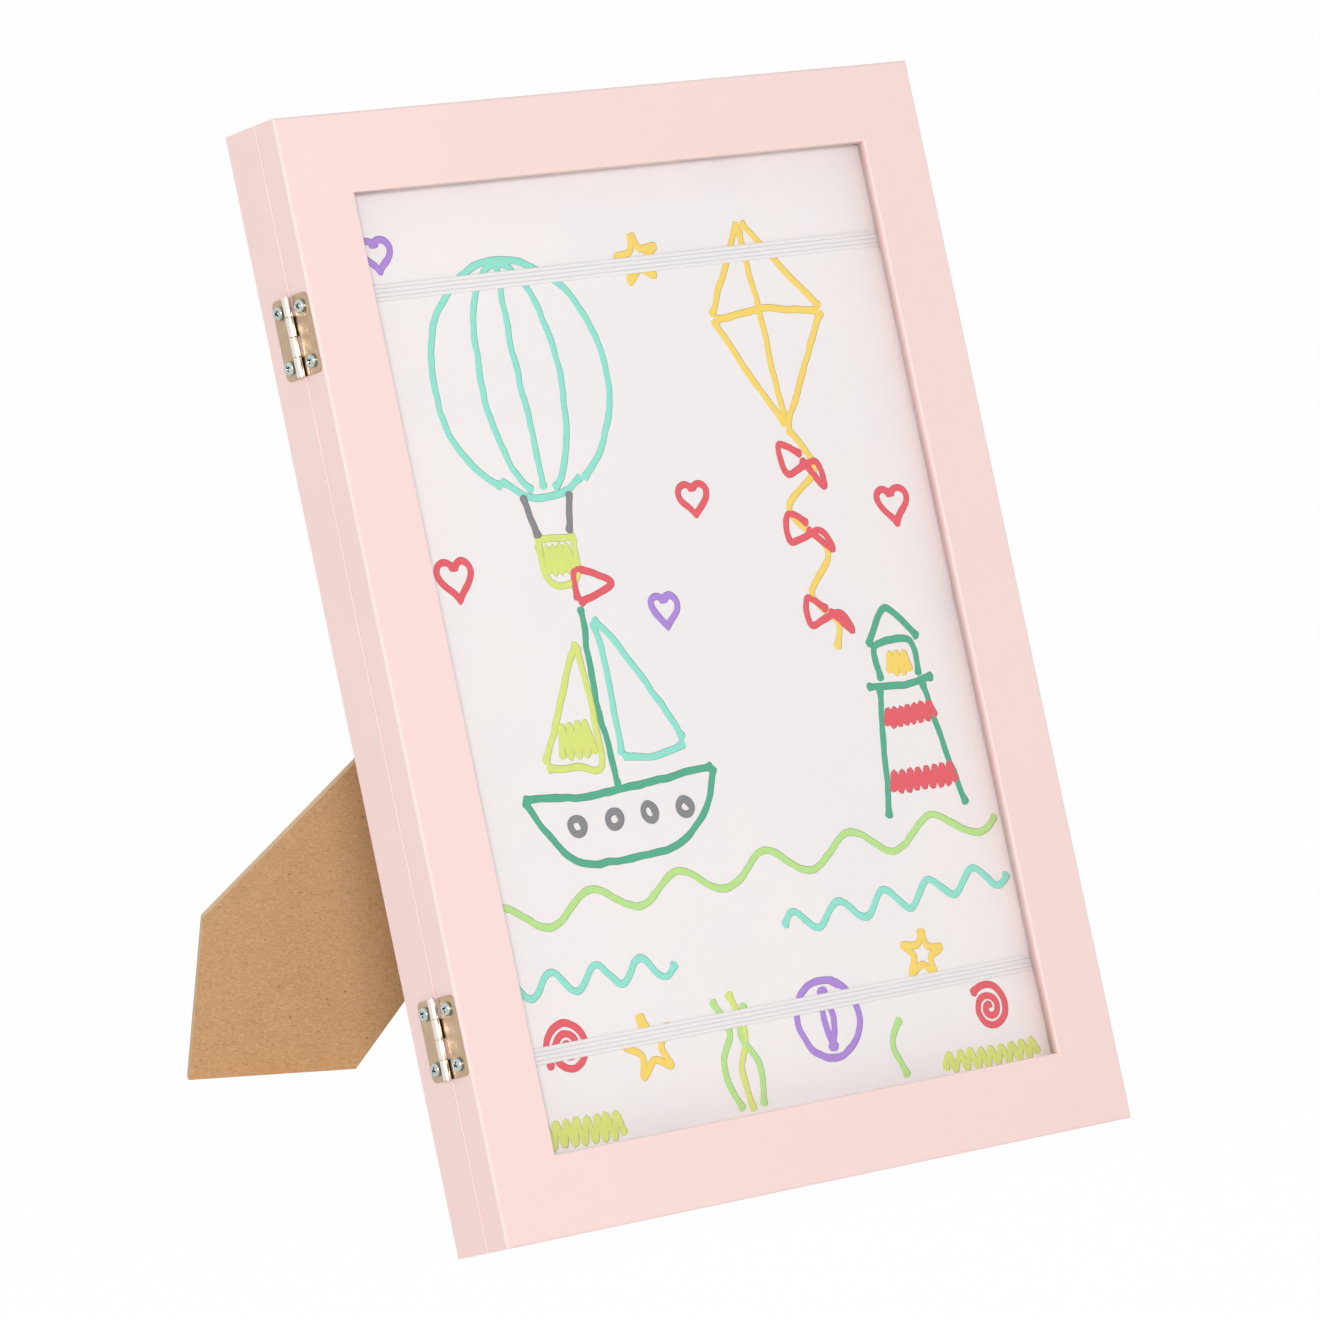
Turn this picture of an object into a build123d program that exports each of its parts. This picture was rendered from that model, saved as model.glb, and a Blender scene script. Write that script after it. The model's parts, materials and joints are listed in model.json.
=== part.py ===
from build123d import *
import os
from math import cos, radians, sin

# A child's art frame for A4 sheets. A glazed door is hinged on the left side of a shallow
# box that stores the sheets, and an easel leg on the back panel holds the frame up.
# Frame axes: u to the right, v up the leaning frame, n out of its front face.
# Row axes: X to the right, Z up, the front faces -Y, and the part stands on Z = 0.
# Lengths are in millimetres, angles in degrees.

os.makedirs("parts", exist_ok=True)

# Sheets
sheet_width = 210.0
sheet_height = 297.0
sheet_thickness = 0.25
sheet_lap = 5.0
sheet_room = 2.0
sheet_shift = 1.0
sheet_seat_gap = 0.3
stack_play = 0.2

# Frame members
face_width = 24.0
door_depth = 9.2
seam_gap = 0.3
box_depth = 14.5
face_round = 0.8
lip_round = 0.5
seam_round = 0.3

# Glazing
lip_depth = 3.4
pane_thickness = 2.0
pane_play = 0.5
point_width = 6.0
point_gauge = 0.4
point_reach = 4.0
point_bite = 4.5
stile_point_shares = (-0.34, 0.0, 0.34)
rail_point_shares = (-0.2, 0.2)

# Corner nails of the mitres
corner_nail_leg = 5.0
corner_nail_gauge = 0.8
corner_nail_height = 5.0
corner_nail_inset = 4.5
corner_nail_sink = 0.3

# Back panel and its pins
panel_thickness = 3.0
panel_lap = 6.0
panel_play = 0.5
panel_pin_radius = 0.6
panel_pin_head_radius = 1.4
panel_pin_head_height = 0.4
panel_pin_length = 9.0
stile_pin_shares = (-0.36, -0.12, 0.12, 0.36)
rail_pin_shares = (-0.3, 0.0, 0.3)

# Elastic straps and their staples
strap_width = 5.2
strap_thickness = 0.8
strap_inset = 53.0
strap_rib_width = 1.0
strap_rib_height = 0.12
strap_ribs = 4
strap_hold = 11.0
staple_gauge = 0.5
staple_wire = 0.9
staple_leg = 5.0
staple_play = 0.1
staple_sink = 0.2

# Door hinges
hinge_height = 24.0
hinge_leaf_width = 8.4
hinge_gauge = 0.7
hinge_inset = 63.2
hinge_barrel_radius = 1.35
hinge_pin_radius = 0.6
hinge_wood_gap = 0.3
hinge_knuckles = 4
hinge_knuckle_gap = 0.15
hinge_notch_play = 0.5
hinge_corner_round = 1.8
hinge_screw_rise = 8.2
hinge_screw_out = 5.3
hinge_pin_proud = 0.2

# Wood screws
screw_head_radius = 2.0
screw_head_height = 1.2
screw_head_round = 0.6
screw_shank_radius = 0.9
screw_length = 8.0
screw_leaf_play = 0.15
recess_length = 2.4
recess_width = 0.6
recess_depth = 0.7

# Magnetic catches on the right stile
catch_rise_share = 0.26
magnet_radius = 4.0
magnet_thickness = 3.0
catch_plate_thickness = 1.0
catch_plate_sink = 0.1
catch_screw_radius = 0.8
catch_screw_head_radius = 1.6
catch_screw_length = 4.5
catch_recess_length = 1.8
catch_recess_width = 0.4
catch_recess_depth = 0.5

# Easel leg
lean = 23.0
landscape_lean = 13.25
leg_open_angle = 43.3
leg_hinge_slope = 26.0
leg_hinge_across_share = 0.1122
leg_hinge_rise_share = 0.1372
leg_thickness = 2.0
leg_top_width = 43.9
leg_swing = 8.0
leg_taper = 5.26
leg_top_round = 3.0
leg_back_gap = 1.6

# Easel leg hinge
leg_hinge_length = 34.0
leg_barrel_radius = 2.0
leg_pin_radius = 1.1
leg_pin_head_radius = 1.6
leg_pin_head_height = 0.6
leg_barrel_gap = 0.25
leg_knuckle_gap = 0.15
leg_notch_play = 0.5
leg_knuckle_share = 0.5
leg_leaf_gauge = 0.8
back_leaf_reach = 16.0
leg_leaf_reach = 20.0
leaf_corner_round = 3.0
leg_stop_play = 0.05
rivet_radius = 1.5
rivet_head_radius = 2.8
rivet_head_height = 1.1
rivet_head_round = 0.9
rivet_tail_radius = 2.4
rivet_tail_height = 0.25
rivet_spread_share = 0.32
rivet_out_share = 0.6

# Sawtooth hangers
hanger_length = 45.0
hanger_width = 8.0
hanger_gauge = 0.8
hanger_rise = 1.4
hanger_flat = 7.0
hanger_slope = 2.0
hanger_teeth = 9
hanger_tooth_depth = 1.6
hanger_nail_radius = 0.7
hanger_nail_head_radius = 1.7
hanger_nail_head_height = 0.6
hanger_nail_length = 8.0

# Fits
glue_play = 0.02
shaft_play = 0.05
slot_play = 0.05

# Sizes that follow
opening_width = sheet_width - 2 * sheet_lap
opening_height = sheet_height - 2 * sheet_lap
frame_width = opening_width + 2 * face_width
frame_height = opening_height + 2 * face_width
frame_depth = door_depth + seam_gap + box_depth
cavity_width = sheet_width + 2 * sheet_room
cavity_height = sheet_height + 2 * sheet_room
rebate_width = sheet_width + 2 * pane_play
rebate_height = sheet_height + 2 * pane_play
recess_panel_width = cavity_width + 2 * panel_lap
recess_panel_height = cavity_height + 2 * panel_lap
box_front = door_depth + seam_gap
panel_front = frame_depth - panel_thickness
strap_floor = box_front + strap_thickness + staple_gauge + staple_sink
strap_groove_width = strap_width + 2 * (staple_wire + staple_play)
strap_rise = frame_height / 2 - strap_inset
box_wall = (frame_width - cavity_width) / 2
catch_rise = catch_rise_share * frame_height
hinge_rise = frame_height / 2 - hinge_inset
hinge_pin_out = hinge_barrel_radius + hinge_wood_gap
hinge_reach = hinge_pin_out + hinge_barrel_radius
hinge_pitch = hinge_height / hinge_knuckles
seam_depth = door_depth + seam_gap / 2

# Directions of the leaning frame
u_dir = Vector(1, 0, 0)
v_dir = Vector(0, sin(radians(lean)), cos(radians(lean)))
n_dir = Vector(0, -cos(radians(lean)), sin(radians(lean)))
rear_dir = n_dir * -1

# Easel leg hinge line: across_dir runs along its pin, down_dir to the foot when folded
across_dir = u_dir * cos(radians(leg_hinge_slope)) - v_dir * sin(radians(leg_hinge_slope))
down_dir = rear_dir.cross(across_dir)
opening_axis = Axis((0, 0, 0), across_dir)
open_rear_dir = rear_dir.rotate(opening_axis, leg_open_angle)
open_down_dir = down_dir.rotate(opening_axis, leg_open_angle)
leg_pin_height = leg_barrel_radius + leg_barrel_gap
leg_inner = leg_pin_height - leg_back_gap
leg_outer = leg_thickness - leg_inner
leg_start = leg_barrel_radius + leg_notch_play


def from_heel(across, up, out):
    """Vector from the middle of the rear bottom edge, in frame axes."""
    return u_dir * across + v_dir * up + n_dir * out


pin_from_heel = from_heel(
    leg_hinge_across_share * frame_width,
    (leg_hinge_rise_share + 1 / 2) * frame_height,
    -leg_pin_height,
)
leg_face_from_heel = pin_from_heel - open_rear_dir * leg_inner


def floor_line(up, edge_from_heel):
    """Line a * s + b * t + c = 0 where a floor cuts the open leg's inner face."""
    return across_dir.dot(up), open_down_dir.dot(up), (leg_face_from_heel - edge_from_heel).dot(up)


def side_line(start, angle):
    """Line of one side edge of the leg, from the hinge line down."""
    turn = radians(angle)
    return cos(turn), -sin(turn), -cos(turn) * start


def crossing(first, second):
    """Point (s, t) where two lines meet."""
    a, b, c = first
    d, e, f = second
    scale = a * e - b * d
    return (b * f - c * e) / scale, (c * d - a * f) / scale


portrait_floor = floor_line(Vector(0, 0, 1), Vector(0, 0, 0))
landscape_up = u_dir * cos(radians(landscape_lean)) + n_dir * sin(radians(landscape_lean))
landscape_floor = floor_line(landscape_up, from_heel(-frame_width / 2, 0, 0))
left_edge = side_line(-leg_top_width / 2, -leg_swing - leg_taper)
right_edge = side_line(leg_top_width / 2, -leg_swing + leg_taper)
leg_top = (0, 1, -leg_start)
leg_outline = [
    crossing(leg_top, left_edge),
    crossing(landscape_floor, left_edge),
    crossing(portrait_floor, landscape_floor),
    crossing(portrait_floor, right_edge),
    crossing(leg_top, right_edge),
]


def foot_rear(corner):
    """How far behind the rear bottom edge the leg's outer face lies at one corner."""
    s, t = corner
    face = leg_face_from_heel + across_dir * s + open_down_dir * t
    return (face + open_rear_dir * leg_thickness).Y


# Place of the frame: the origin is under the middle of the whole part, on the floor
round_rest = face_round * (1 - sin(radians(lean)) - cos(radians(lean)))
front_reach = -frame_depth * cos(radians(lean)) - round_rest
rear_reach = max(foot_rear(corner) for corner in leg_outline)
heel = Vector(hinge_reach / 2, -(front_reach + rear_reach) / 2, 0)
front = Plane(
    origin=heel + from_heel(0, frame_height / 2, frame_depth), x_dir=u_dir, z_dir=n_dir
)
depth_axis = Axis((0, 0, 0), n_dir)


def at_depth(depth):
    """Plane parallel to the front face, that far behind it."""
    return front.offset(-depth)


def on_frame(across, up, depth):
    """Point in row axes from frame places."""
    return front.from_local_coords((across, up, -depth))


box_face = at_depth(box_front)
left_face = Plane(origin=on_frame(-frame_width / 2, 0, seam_depth), x_dir=n_dir, z_dir=u_dir * -1)
closed_pin = Plane(origin=heel + pin_from_heel, x_dir=across_dir, z_dir=rear_dir)
open_pin = Plane(origin=heel + pin_from_heel, x_dir=across_dir, z_dir=open_rear_dir)

# Members and corners: towards (right, up)
members = {
    "left_stile": (-1, 0),
    "right_stile": (1, 0),
    "top_rail": (0, 1),
    "bottom_rail": (0, -1),
}
corners = [(-1, -1), (-1, 1), (1, -1), (1, 1)]


def member_outline(side, inner_width, inner_height):
    """Outer and inner edge of one member, mitred at its ends."""
    across, up = side
    outer_u, outer_v = frame_width / 2, frame_height / 2
    inner_u, inner_v = inner_width / 2, inner_height / 2
    if across:
        outline = [(across * outer_u, -outer_v), (across * outer_u, outer_v)]
        outline += [(across * inner_u, inner_v), (across * inner_u, -inner_v)]
    else:
        outline = [(-outer_u, up * outer_v), (outer_u, up * outer_v)]
        outline += [(inner_u, up * inner_v), (-inner_u, up * inner_v)]
    return outline


def circles(plane, places, radius):
    """Circles at the places of a plane, for holes, shanks and heads."""
    with BuildSketch(plane) as sketch:
        with Locations(*places):
            Circle(radius)
    return sketch.sketch


def boxes(plane, places, width, height):
    """Rectangles at the places of a plane, for slots and strips."""
    with BuildSketch(plane) as sketch:
        with Locations(*places):
            Rectangle(width, height)
    return sketch.sketch


def corner_nails(plane, play):
    """The angles of the corner nails, one leg in each member of a mitre."""
    half = corner_nail_gauge / 2 + play
    leg = corner_nail_leg + play
    angle = [(half, half), (-leg, half), (-leg, -half), (-half, -half), (-half, -leg), (half, -leg)]
    middle_u = frame_width / 2 - corner_nail_inset
    middle_v = frame_height / 2 - corner_nail_inset
    with BuildSketch(plane) as sketch:
        for across, up in corners:
            points = [(across * (middle_u + x), up * (middle_v + y)) for x, y in angle]
            with BuildLine():
                Polyline(*points, close=True)
            make_face()
    return sketch.sketch


# Places of what repeats, in the plane of the front face
stile_point_places = [
    (side * rebate_width / 2, share * frame_height) for side in (-1, 1) for share in stile_point_shares
]
rail_point_places = [
    (share * frame_width, side * rebate_height / 2) for side in (-1, 1) for share in rail_point_shares
]
pin_column = cavity_width / 2 + panel_lap / 2
pin_row = cavity_height / 2 + panel_lap / 2
panel_pin_places = [
    (side * pin_column, share * frame_height) for side in (-1, 1) for share in stile_pin_shares
] + [(share * frame_width, side * pin_row) for side in (-1, 1) for share in rail_pin_shares]
staple_column = cavity_width / 2 + strap_hold / 2
staple_places = [(side * staple_column, level * strap_rise) for side in (-1, 1) for level in (-1, 1)]
staple_leg_out = (strap_width + staple_wire) / 2 + staple_play / 2
staple_leg_places = [(u, v + side * staple_leg_out) for u, v in staple_places for side in (-1, 1)]
magnet_places = [(cavity_width / 2 + box_wall / 2, level * catch_rise) for level in (-1, 1)]
hinge_screw_places = {
    part: [
        (toward * hinge_screw_out, level * hinge_rise + up * hinge_screw_rise)
        for level in (-1, 1)
        for up in (-1, 1)
    ]
    for part, toward in (("door", 1), ("box", -1))
}
point_span = point_reach + point_bite
point_shift = (point_bite - point_reach) / 2
stile_points = [(u + point_shift * (1 if u > 0 else -1), v) for u, v in stile_point_places]
rail_points = [(u, v + point_shift * (1 if v > 0 else -1)) for u, v in rail_point_places]


rim = box_wall - panel_lap
hanger_planes = {
    "top_rail": Plane(
        origin=on_frame(0, (frame_height - rim) / 2, frame_depth), x_dir=u_dir * -1, z_dir=rear_dir
    ),
    "right_stile": Plane(
        origin=on_frame((frame_width - rim) / 2, 0, frame_depth), x_dir=v_dir, z_dir=rear_dir
    ),
}
hanger_nail_out = (hanger_length - hanger_flat) / 2
hanger_nail_places = [(side * hanger_nail_out, 0) for side in (-1, 1)]


# Door members
for name, side in members.items():
    outward = Axis((0, 0, 0), u_dir * side[0] + v_dir * side[1])
    with BuildPart() as door_member:
        with BuildSketch(front):
            with BuildLine():
                Polyline(*member_outline(side, opening_width, opening_height), close=True)
            make_face()
        extrude(amount=-door_depth)
        face_edges = door_member.edges().group_by(depth_axis)[-1].sort_by(outward)
        fillet(face_edges[-1], radius=face_round)
        face_edges = door_member.edges().group_by(depth_axis)[-1].sort_by(outward)
        fillet(face_edges[0], radius=lip_round)
        seam_edge = door_member.edges().group_by(depth_axis)[0].sort_by(outward)[-1]
        fillet(seam_edge, radius=seam_round)
        with BuildSketch(at_depth(lip_depth)):
            Rectangle(rebate_width, rebate_height)
        extrude(amount=-door_depth, mode=Mode.SUBTRACT)
        nail_slots = corner_nails(at_depth(door_depth), slot_play)
        extrude(nail_slots, amount=corner_nail_height + corner_nail_sink, mode=Mode.SUBTRACT)
        point_depth = lip_depth + pane_thickness
        slot_face = at_depth(point_depth)
        width, length = point_width + 2 * slot_play, point_span + 2 * slot_play
        extrude(boxes(slot_face, stile_points, length, width), amount=-point_gauge, mode=Mode.SUBTRACT)
        extrude(boxes(slot_face, rail_points, width, length), amount=-point_gauge, mode=Mode.SUBTRACT)
        if name == "left_stile":
            pilots = circles(left_face, hinge_screw_places["door"], screw_shank_radius + glue_play)
            extrude(pilots, amount=-screw_length, mode=Mode.SUBTRACT)
        if name == "right_stile":
            rear = at_depth(door_depth)
            plate_seats = circles(rear, magnet_places, magnet_radius + slot_play)
            extrude(plate_seats, amount=catch_plate_thickness + catch_plate_sink, mode=Mode.SUBTRACT)
            pilots = circles(rear, magnet_places, catch_screw_radius + glue_play)
            extrude(pilots, amount=catch_screw_length + catch_plate_sink, mode=Mode.SUBTRACT)
    door_member.part.label = f"door_{name}"
    export_step(door_member.part, f"parts/door_{name}.step")

# Box members
for name, side in members.items():
    outward = Axis((0, 0, 0), u_dir * side[0] + v_dir * side[1])
    with BuildPart() as box_member:
        with BuildSketch(box_face):
            with BuildLine():
                Polyline(*member_outline(side, cavity_width, cavity_height), close=True)
            make_face()
        extrude(amount=-box_depth)
        seam_edge = box_member.edges().group_by(depth_axis)[-1].sort_by(outward)[-1]
        fillet(seam_edge, radius=seam_round)
        with BuildSketch(at_depth(panel_front)):
            Rectangle(recess_panel_width, recess_panel_height)
        extrude(amount=-box_depth, mode=Mode.SUBTRACT)
        nail_slots = corner_nails(at_depth(frame_depth), slot_play)
        extrude(nail_slots, amount=corner_nail_height + corner_nail_sink, mode=Mode.SUBTRACT)
        pin_holes = circles(at_depth(panel_front), panel_pin_places, panel_pin_radius + glue_play)
        extrude(pin_holes, amount=panel_pin_length, mode=Mode.SUBTRACT)
        if name in ("left_stile", "right_stile"):
            for level in (-1, 1):
                with BuildSketch(box_face):
                    with Locations((0, level * strap_rise)):
                        Rectangle(cavity_width + 2 * strap_hold, strap_groove_width)
                extrude(amount=-(strap_floor - box_front), mode=Mode.SUBTRACT)
            leg_holes = boxes(
                at_depth(strap_floor),
                staple_leg_places,
                staple_wire + 2 * glue_play,
                staple_wire + 2 * glue_play,
            )
            extrude(leg_holes, amount=-staple_leg, mode=Mode.SUBTRACT)
        if name == "left_stile":
            pilots = circles(left_face, hinge_screw_places["box"], screw_shank_radius + glue_play)
            extrude(pilots, amount=-screw_length, mode=Mode.SUBTRACT)
        if name == "right_stile":
            magnet_seats = circles(box_face, magnet_places, magnet_radius + slot_play)
            extrude(magnet_seats, amount=-magnet_thickness, mode=Mode.SUBTRACT)
        if name in hanger_planes:
            pilots = circles(hanger_planes[name], hanger_nail_places, hanger_nail_radius + glue_play)
            extrude(pilots, amount=-hanger_nail_length, mode=Mode.SUBTRACT)
    box_member.part.label = f"box_{name}"
    export_step(box_member.part, f"parts/box_{name}.step")

# Angles nailed across the mitres, sunk a little below the rear faces
for name, depth in (("door", door_depth), ("box", frame_depth)):
    with BuildPart() as mitre_nails:
        extrude(corner_nails(at_depth(depth - corner_nail_sink), 0), amount=corner_nail_height)
    mitre_nails.part.label = f"{name}_corner_nails"
    export_step(mitre_nails.part, f"parts/{name}_corner_nails.step")

# Glazing pane behind the door's lip
with BuildPart() as glazing_pane:
    with BuildSketch(at_depth(lip_depth)):
        Rectangle(rebate_width - 2 * pane_play, rebate_height - 2 * pane_play)
    extrude(amount=-pane_thickness)
glazing_pane.part.label = "glazing_pane"
export_step(glazing_pane.part, "parts/glazing_pane.step")

# Flat points driven into the rebate walls, over the rear of the pane
with BuildPart() as glazing_points:
    point_face = at_depth(lip_depth + pane_thickness)
    extrude(boxes(point_face, stile_points, point_span, point_width), amount=-point_gauge)
    extrude(boxes(point_face, rail_points, point_width, point_span), amount=-point_gauge)
glazing_points.part.label = "glazing_points"
export_step(glazing_points.part, "parts/glazing_points.step")

# Steel discs let into the door, each with a countersunk screw
plate_face = at_depth(door_depth - catch_plate_sink)
sink_depth = catch_screw_head_radius - catch_screw_radius
with BuildPart() as catch_plates:
    extrude(circles(plate_face, magnet_places, magnet_radius), amount=catch_plate_thickness)
    shank_holes = circles(plate_face, magnet_places, catch_screw_radius + slot_play)
    extrude(shank_holes, amount=catch_plate_thickness, mode=Mode.SUBTRACT)
    head_seats = circles(plate_face, magnet_places, catch_screw_head_radius + slot_play)
    extrude(head_seats, amount=sink_depth, taper=45, mode=Mode.SUBTRACT)
catch_plates.part.label = "catch_plates"
export_step(catch_plates.part, "parts/catch_plates.step")

with BuildPart() as catch_plate_screws:
    extrude(circles(plate_face, magnet_places, catch_screw_radius), amount=catch_screw_length)
    extrude(circles(plate_face, magnet_places, catch_screw_head_radius), amount=sink_depth, taper=45)
    for cross_width, cross_height in (
        (catch_recess_length, catch_recess_width),
        (catch_recess_width, catch_recess_length),
    ):
        cross = boxes(plate_face, magnet_places, cross_width, cross_height)
        extrude(cross, amount=catch_recess_depth, mode=Mode.SUBTRACT)
catch_plate_screws.part.label = "catch_plate_screws"
export_step(catch_plate_screws.part, "parts/catch_plate_screws.step")

with BuildPart() as catch_magnets:
    extrude(circles(box_face, magnet_places, magnet_radius), amount=-magnet_thickness)
catch_magnets.part.label = "catch_magnets"
export_step(catch_magnets.part, "parts/catch_magnets.step")

# Ribbed elastic straps, let into grooves of both stiles
strap_length = cavity_width + 2 * (strap_hold - staple_play)
rib_pitch = strap_width / strap_ribs
for name, level in (("upper", 1), ("lower", -1)):
    with BuildPart() as strap:
        with BuildSketch(at_depth(strap_floor)):
            with Locations((0, level * strap_rise)):
                Rectangle(strap_length, strap_width)
        extrude(amount=strap_thickness - strap_rib_height)
        with BuildSketch(at_depth(strap_floor)):
            with Locations((0, level * strap_rise)):
                with GridLocations(strap_length, rib_pitch, 1, strap_ribs):
                    Rectangle(strap_length, strap_rib_width)
        extrude(amount=strap_thickness)
    strap.part.label = f"{name}_elastic_strap"
    export_step(strap.part, f"parts/{name}_elastic_strap.step")

# Staples over the strap ends
crown_depth = box_front + staple_sink
with BuildPart() as strap_staples:
    crowns = boxes(
        at_depth(crown_depth), staple_places, staple_wire, 2 * staple_leg_out + staple_wire
    )
    extrude(crowns, amount=-staple_gauge)
    legs = boxes(at_depth(crown_depth), staple_leg_places, staple_wire, staple_wire)
    extrude(legs, amount=-(strap_floor + staple_leg - crown_depth - glue_play))
strap_staples.part.label = "strap_staples"
export_step(strap_staples.part, "parts/strap_staples.step")

# Top sheet and the stored sheets behind it, standing on the box's bottom rail
sheet_place = (sheet_shift, (sheet_height - cavity_height) / 2 + sheet_seat_gap)
stack_front = strap_floor + sheet_thickness
stack_rear = panel_front - rivet_tail_height - stack_play
with BuildPart() as artwork_sheet:
    with BuildSketch(at_depth(strap_floor)):
        with Locations(sheet_place):
            Rectangle(sheet_width, sheet_height)
    extrude(amount=-sheet_thickness)
artwork_sheet.part.label = "artwork_sheet"
export_step(artwork_sheet.part, "parts/artwork_sheet.step")

with BuildPart() as stored_sheets:
    with BuildSketch(at_depth(stack_front)):
        with Locations(sheet_place):
            Rectangle(sheet_width, sheet_height)
    extrude(amount=-(stack_rear - stack_front))
stored_sheets.part.label = "stored_sheets"
export_step(stored_sheets.part, "parts/stored_sheets.step")

# Back panel in the box's rear recess, with holes for its pins and the hinge rivets
panel_plane = closed_pin.offset(-leg_pin_height)
rivet_out = rivet_spread_share * leg_hinge_length
back_rivet_places = [(side * rivet_out, -rivet_out_share * back_leaf_reach) for side in (-1, 1)]
leg_rivet_places = [(side * rivet_out, rivet_out_share * leg_leaf_reach) for side in (-1, 1)]
with BuildPart() as back_panel:
    with BuildSketch(at_depth(panel_front)):
        Rectangle(recess_panel_width - panel_play, recess_panel_height - panel_play)
    extrude(amount=-panel_thickness)
    rear = at_depth(frame_depth)
    head_seats = circles(rear, panel_pin_places, panel_pin_head_radius + slot_play)
    extrude(head_seats, amount=panel_pin_head_height, mode=Mode.SUBTRACT)
    pin_holes = circles(rear, panel_pin_places, panel_pin_radius + glue_play)
    extrude(pin_holes, amount=panel_thickness, mode=Mode.SUBTRACT)
    rivet_holes = circles(panel_plane, back_rivet_places, rivet_radius + slot_play)
    extrude(rivet_holes, amount=-panel_thickness, mode=Mode.SUBTRACT)
back_panel.part.label = "back_panel"
export_step(back_panel.part, "parts/back_panel.step")

with BuildPart() as back_panel_pins:
    rear = at_depth(frame_depth)
    extrude(circles(rear, panel_pin_places, panel_pin_head_radius), amount=panel_pin_head_height)
    shanks = circles(rear, panel_pin_places, panel_pin_radius)
    extrude(shanks, amount=panel_thickness + panel_pin_length - glue_play)
back_panel_pins.part.label = "back_panel_pins"
export_step(back_panel_pins.part, "parts/back_panel_pins.step")

# Door hinges, counted down from the top knuckle, which belongs to the box leaf
levels = {"upper": 1, "lower": -1}
owners = {"box": (-1, 0), "door": (1, 1)}
for level_name, level in levels.items():
    for owner, (toward, first_knuckle) in owners.items():
        centre = level * hinge_rise
        knuckle_tops = [centre + hinge_height / 2 - i * hinge_pitch for i in range(hinge_knuckles)]
        with BuildPart() as hinge_leaf:
            with BuildSketch(left_face) as plate:
                with Locations((toward * hinge_leaf_width / 2, centre)):
                    Rectangle(hinge_leaf_width, hinge_height)
                outer = plate.vertices().sort_by(Axis.X)
                fillet(outer[-2:] if toward > 0 else outer[:2], radius=hinge_corner_round)
                notch = hinge_barrel_radius + hinge_notch_play
                for top in knuckle_tops[1 - first_knuckle :: 2]:
                    with Locations((toward * notch / 2, top - hinge_pitch / 2)):
                        Rectangle(notch, hinge_pitch + hinge_knuckle_gap, mode=Mode.SUBTRACT)
                with Locations(*hinge_screw_places[owner]):
                    Circle(screw_shank_radius + screw_leaf_play, mode=Mode.SUBTRACT)
            extrude(amount=hinge_gauge)
            for top in knuckle_tops[first_knuckle::2]:
                knuckle_start = on_frame(
                    -frame_width / 2 - hinge_pin_out, top - hinge_pitch + hinge_knuckle_gap / 2, seam_depth
                )
                with BuildSketch(Plane(origin=knuckle_start, x_dir=u_dir, z_dir=v_dir)):
                    Circle(hinge_barrel_radius)
                    Circle(hinge_pin_radius + shaft_play, mode=Mode.SUBTRACT)
                extrude(amount=hinge_pitch - hinge_knuckle_gap)
        hinge_leaf.part.label = f"{level_name}_hinge_{owner}_leaf"
        export_step(hinge_leaf.part, f"parts/{level_name}_hinge_{owner}_leaf.step")

with BuildPart() as hinge_pins:
    for level in levels.values():
        pin_start = on_frame(
            -frame_width / 2 - hinge_pin_out,
            level * hinge_rise - hinge_height / 2 - hinge_pin_proud,
            seam_depth,
        )
        with BuildSketch(Plane(origin=pin_start, x_dir=u_dir, z_dir=v_dir)):
            Circle(hinge_pin_radius)
        extrude(amount=hinge_height + 2 * hinge_pin_proud)
hinge_pins.part.label = "hinge_pins"
export_step(hinge_pins.part, "parts/hinge_pins.step")

# Cross-head screws of the hinge leaves
leaf_face = left_face.offset(hinge_gauge)
for owner in owners:
    places = hinge_screw_places[owner]
    with BuildPart() as leaf_screws:
        extrude(circles(leaf_face, places, screw_head_radius), amount=screw_head_height)
        rims = leaf_screws.edges().filter_by(GeomType.CIRCLE).group_by(Axis((0, 0, 0), u_dir))[0]
        fillet(rims, radius=screw_head_round)
        shank_length = hinge_gauge + screw_length - glue_play
        extrude(circles(leaf_face, places, screw_shank_radius), amount=-shank_length)
        head_top = leaf_face.offset(screw_head_height)
        for cross_width, cross_height in ((recess_length, recess_width), (recess_width, recess_length)):
            cross = boxes(head_top, places, cross_width, cross_height)
            extrude(cross, amount=-recess_depth, mode=Mode.SUBTRACT)
    leaf_screws.part.label = f"{owner}_leaf_screws"
    export_step(leaf_screws.part, f"parts/{owner}_leaf_screws.step")

# Easel leg: its foot edges lie on the floor, upright and on the frame's left side
leg_face = open_pin.offset(-leg_inner)
with BuildPart() as easel_leg:
    with BuildSketch(leg_face) as leg_shape:
        with BuildLine():
            Polyline(*leg_outline, close=True)
        make_face()
        fillet(leg_shape.vertices().sort_by(Axis.Y)[:2], radius=leg_top_round)
    extrude(amount=leg_thickness)
    rivet_holes = circles(leg_face, leg_rivet_places, rivet_radius + slot_play)
    extrude(rivet_holes, amount=leg_thickness, mode=Mode.SUBTRACT)
easel_leg.part.label = "easel_leg"
export_step(easel_leg.part, "parts/easel_leg.step")

# Easel leg hinge: the leg leaf's tongue meets the back leaf at the open angle
middle_half = leg_knuckle_share * leg_hinge_length / 2
open_turn = radians(leg_open_angle)
stop_drop = leg_pin_height - leg_leaf_gauge - leg_stop_play
stop_reach = (stop_drop + leg_outer * cos(open_turn)) / sin(open_turn)


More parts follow.
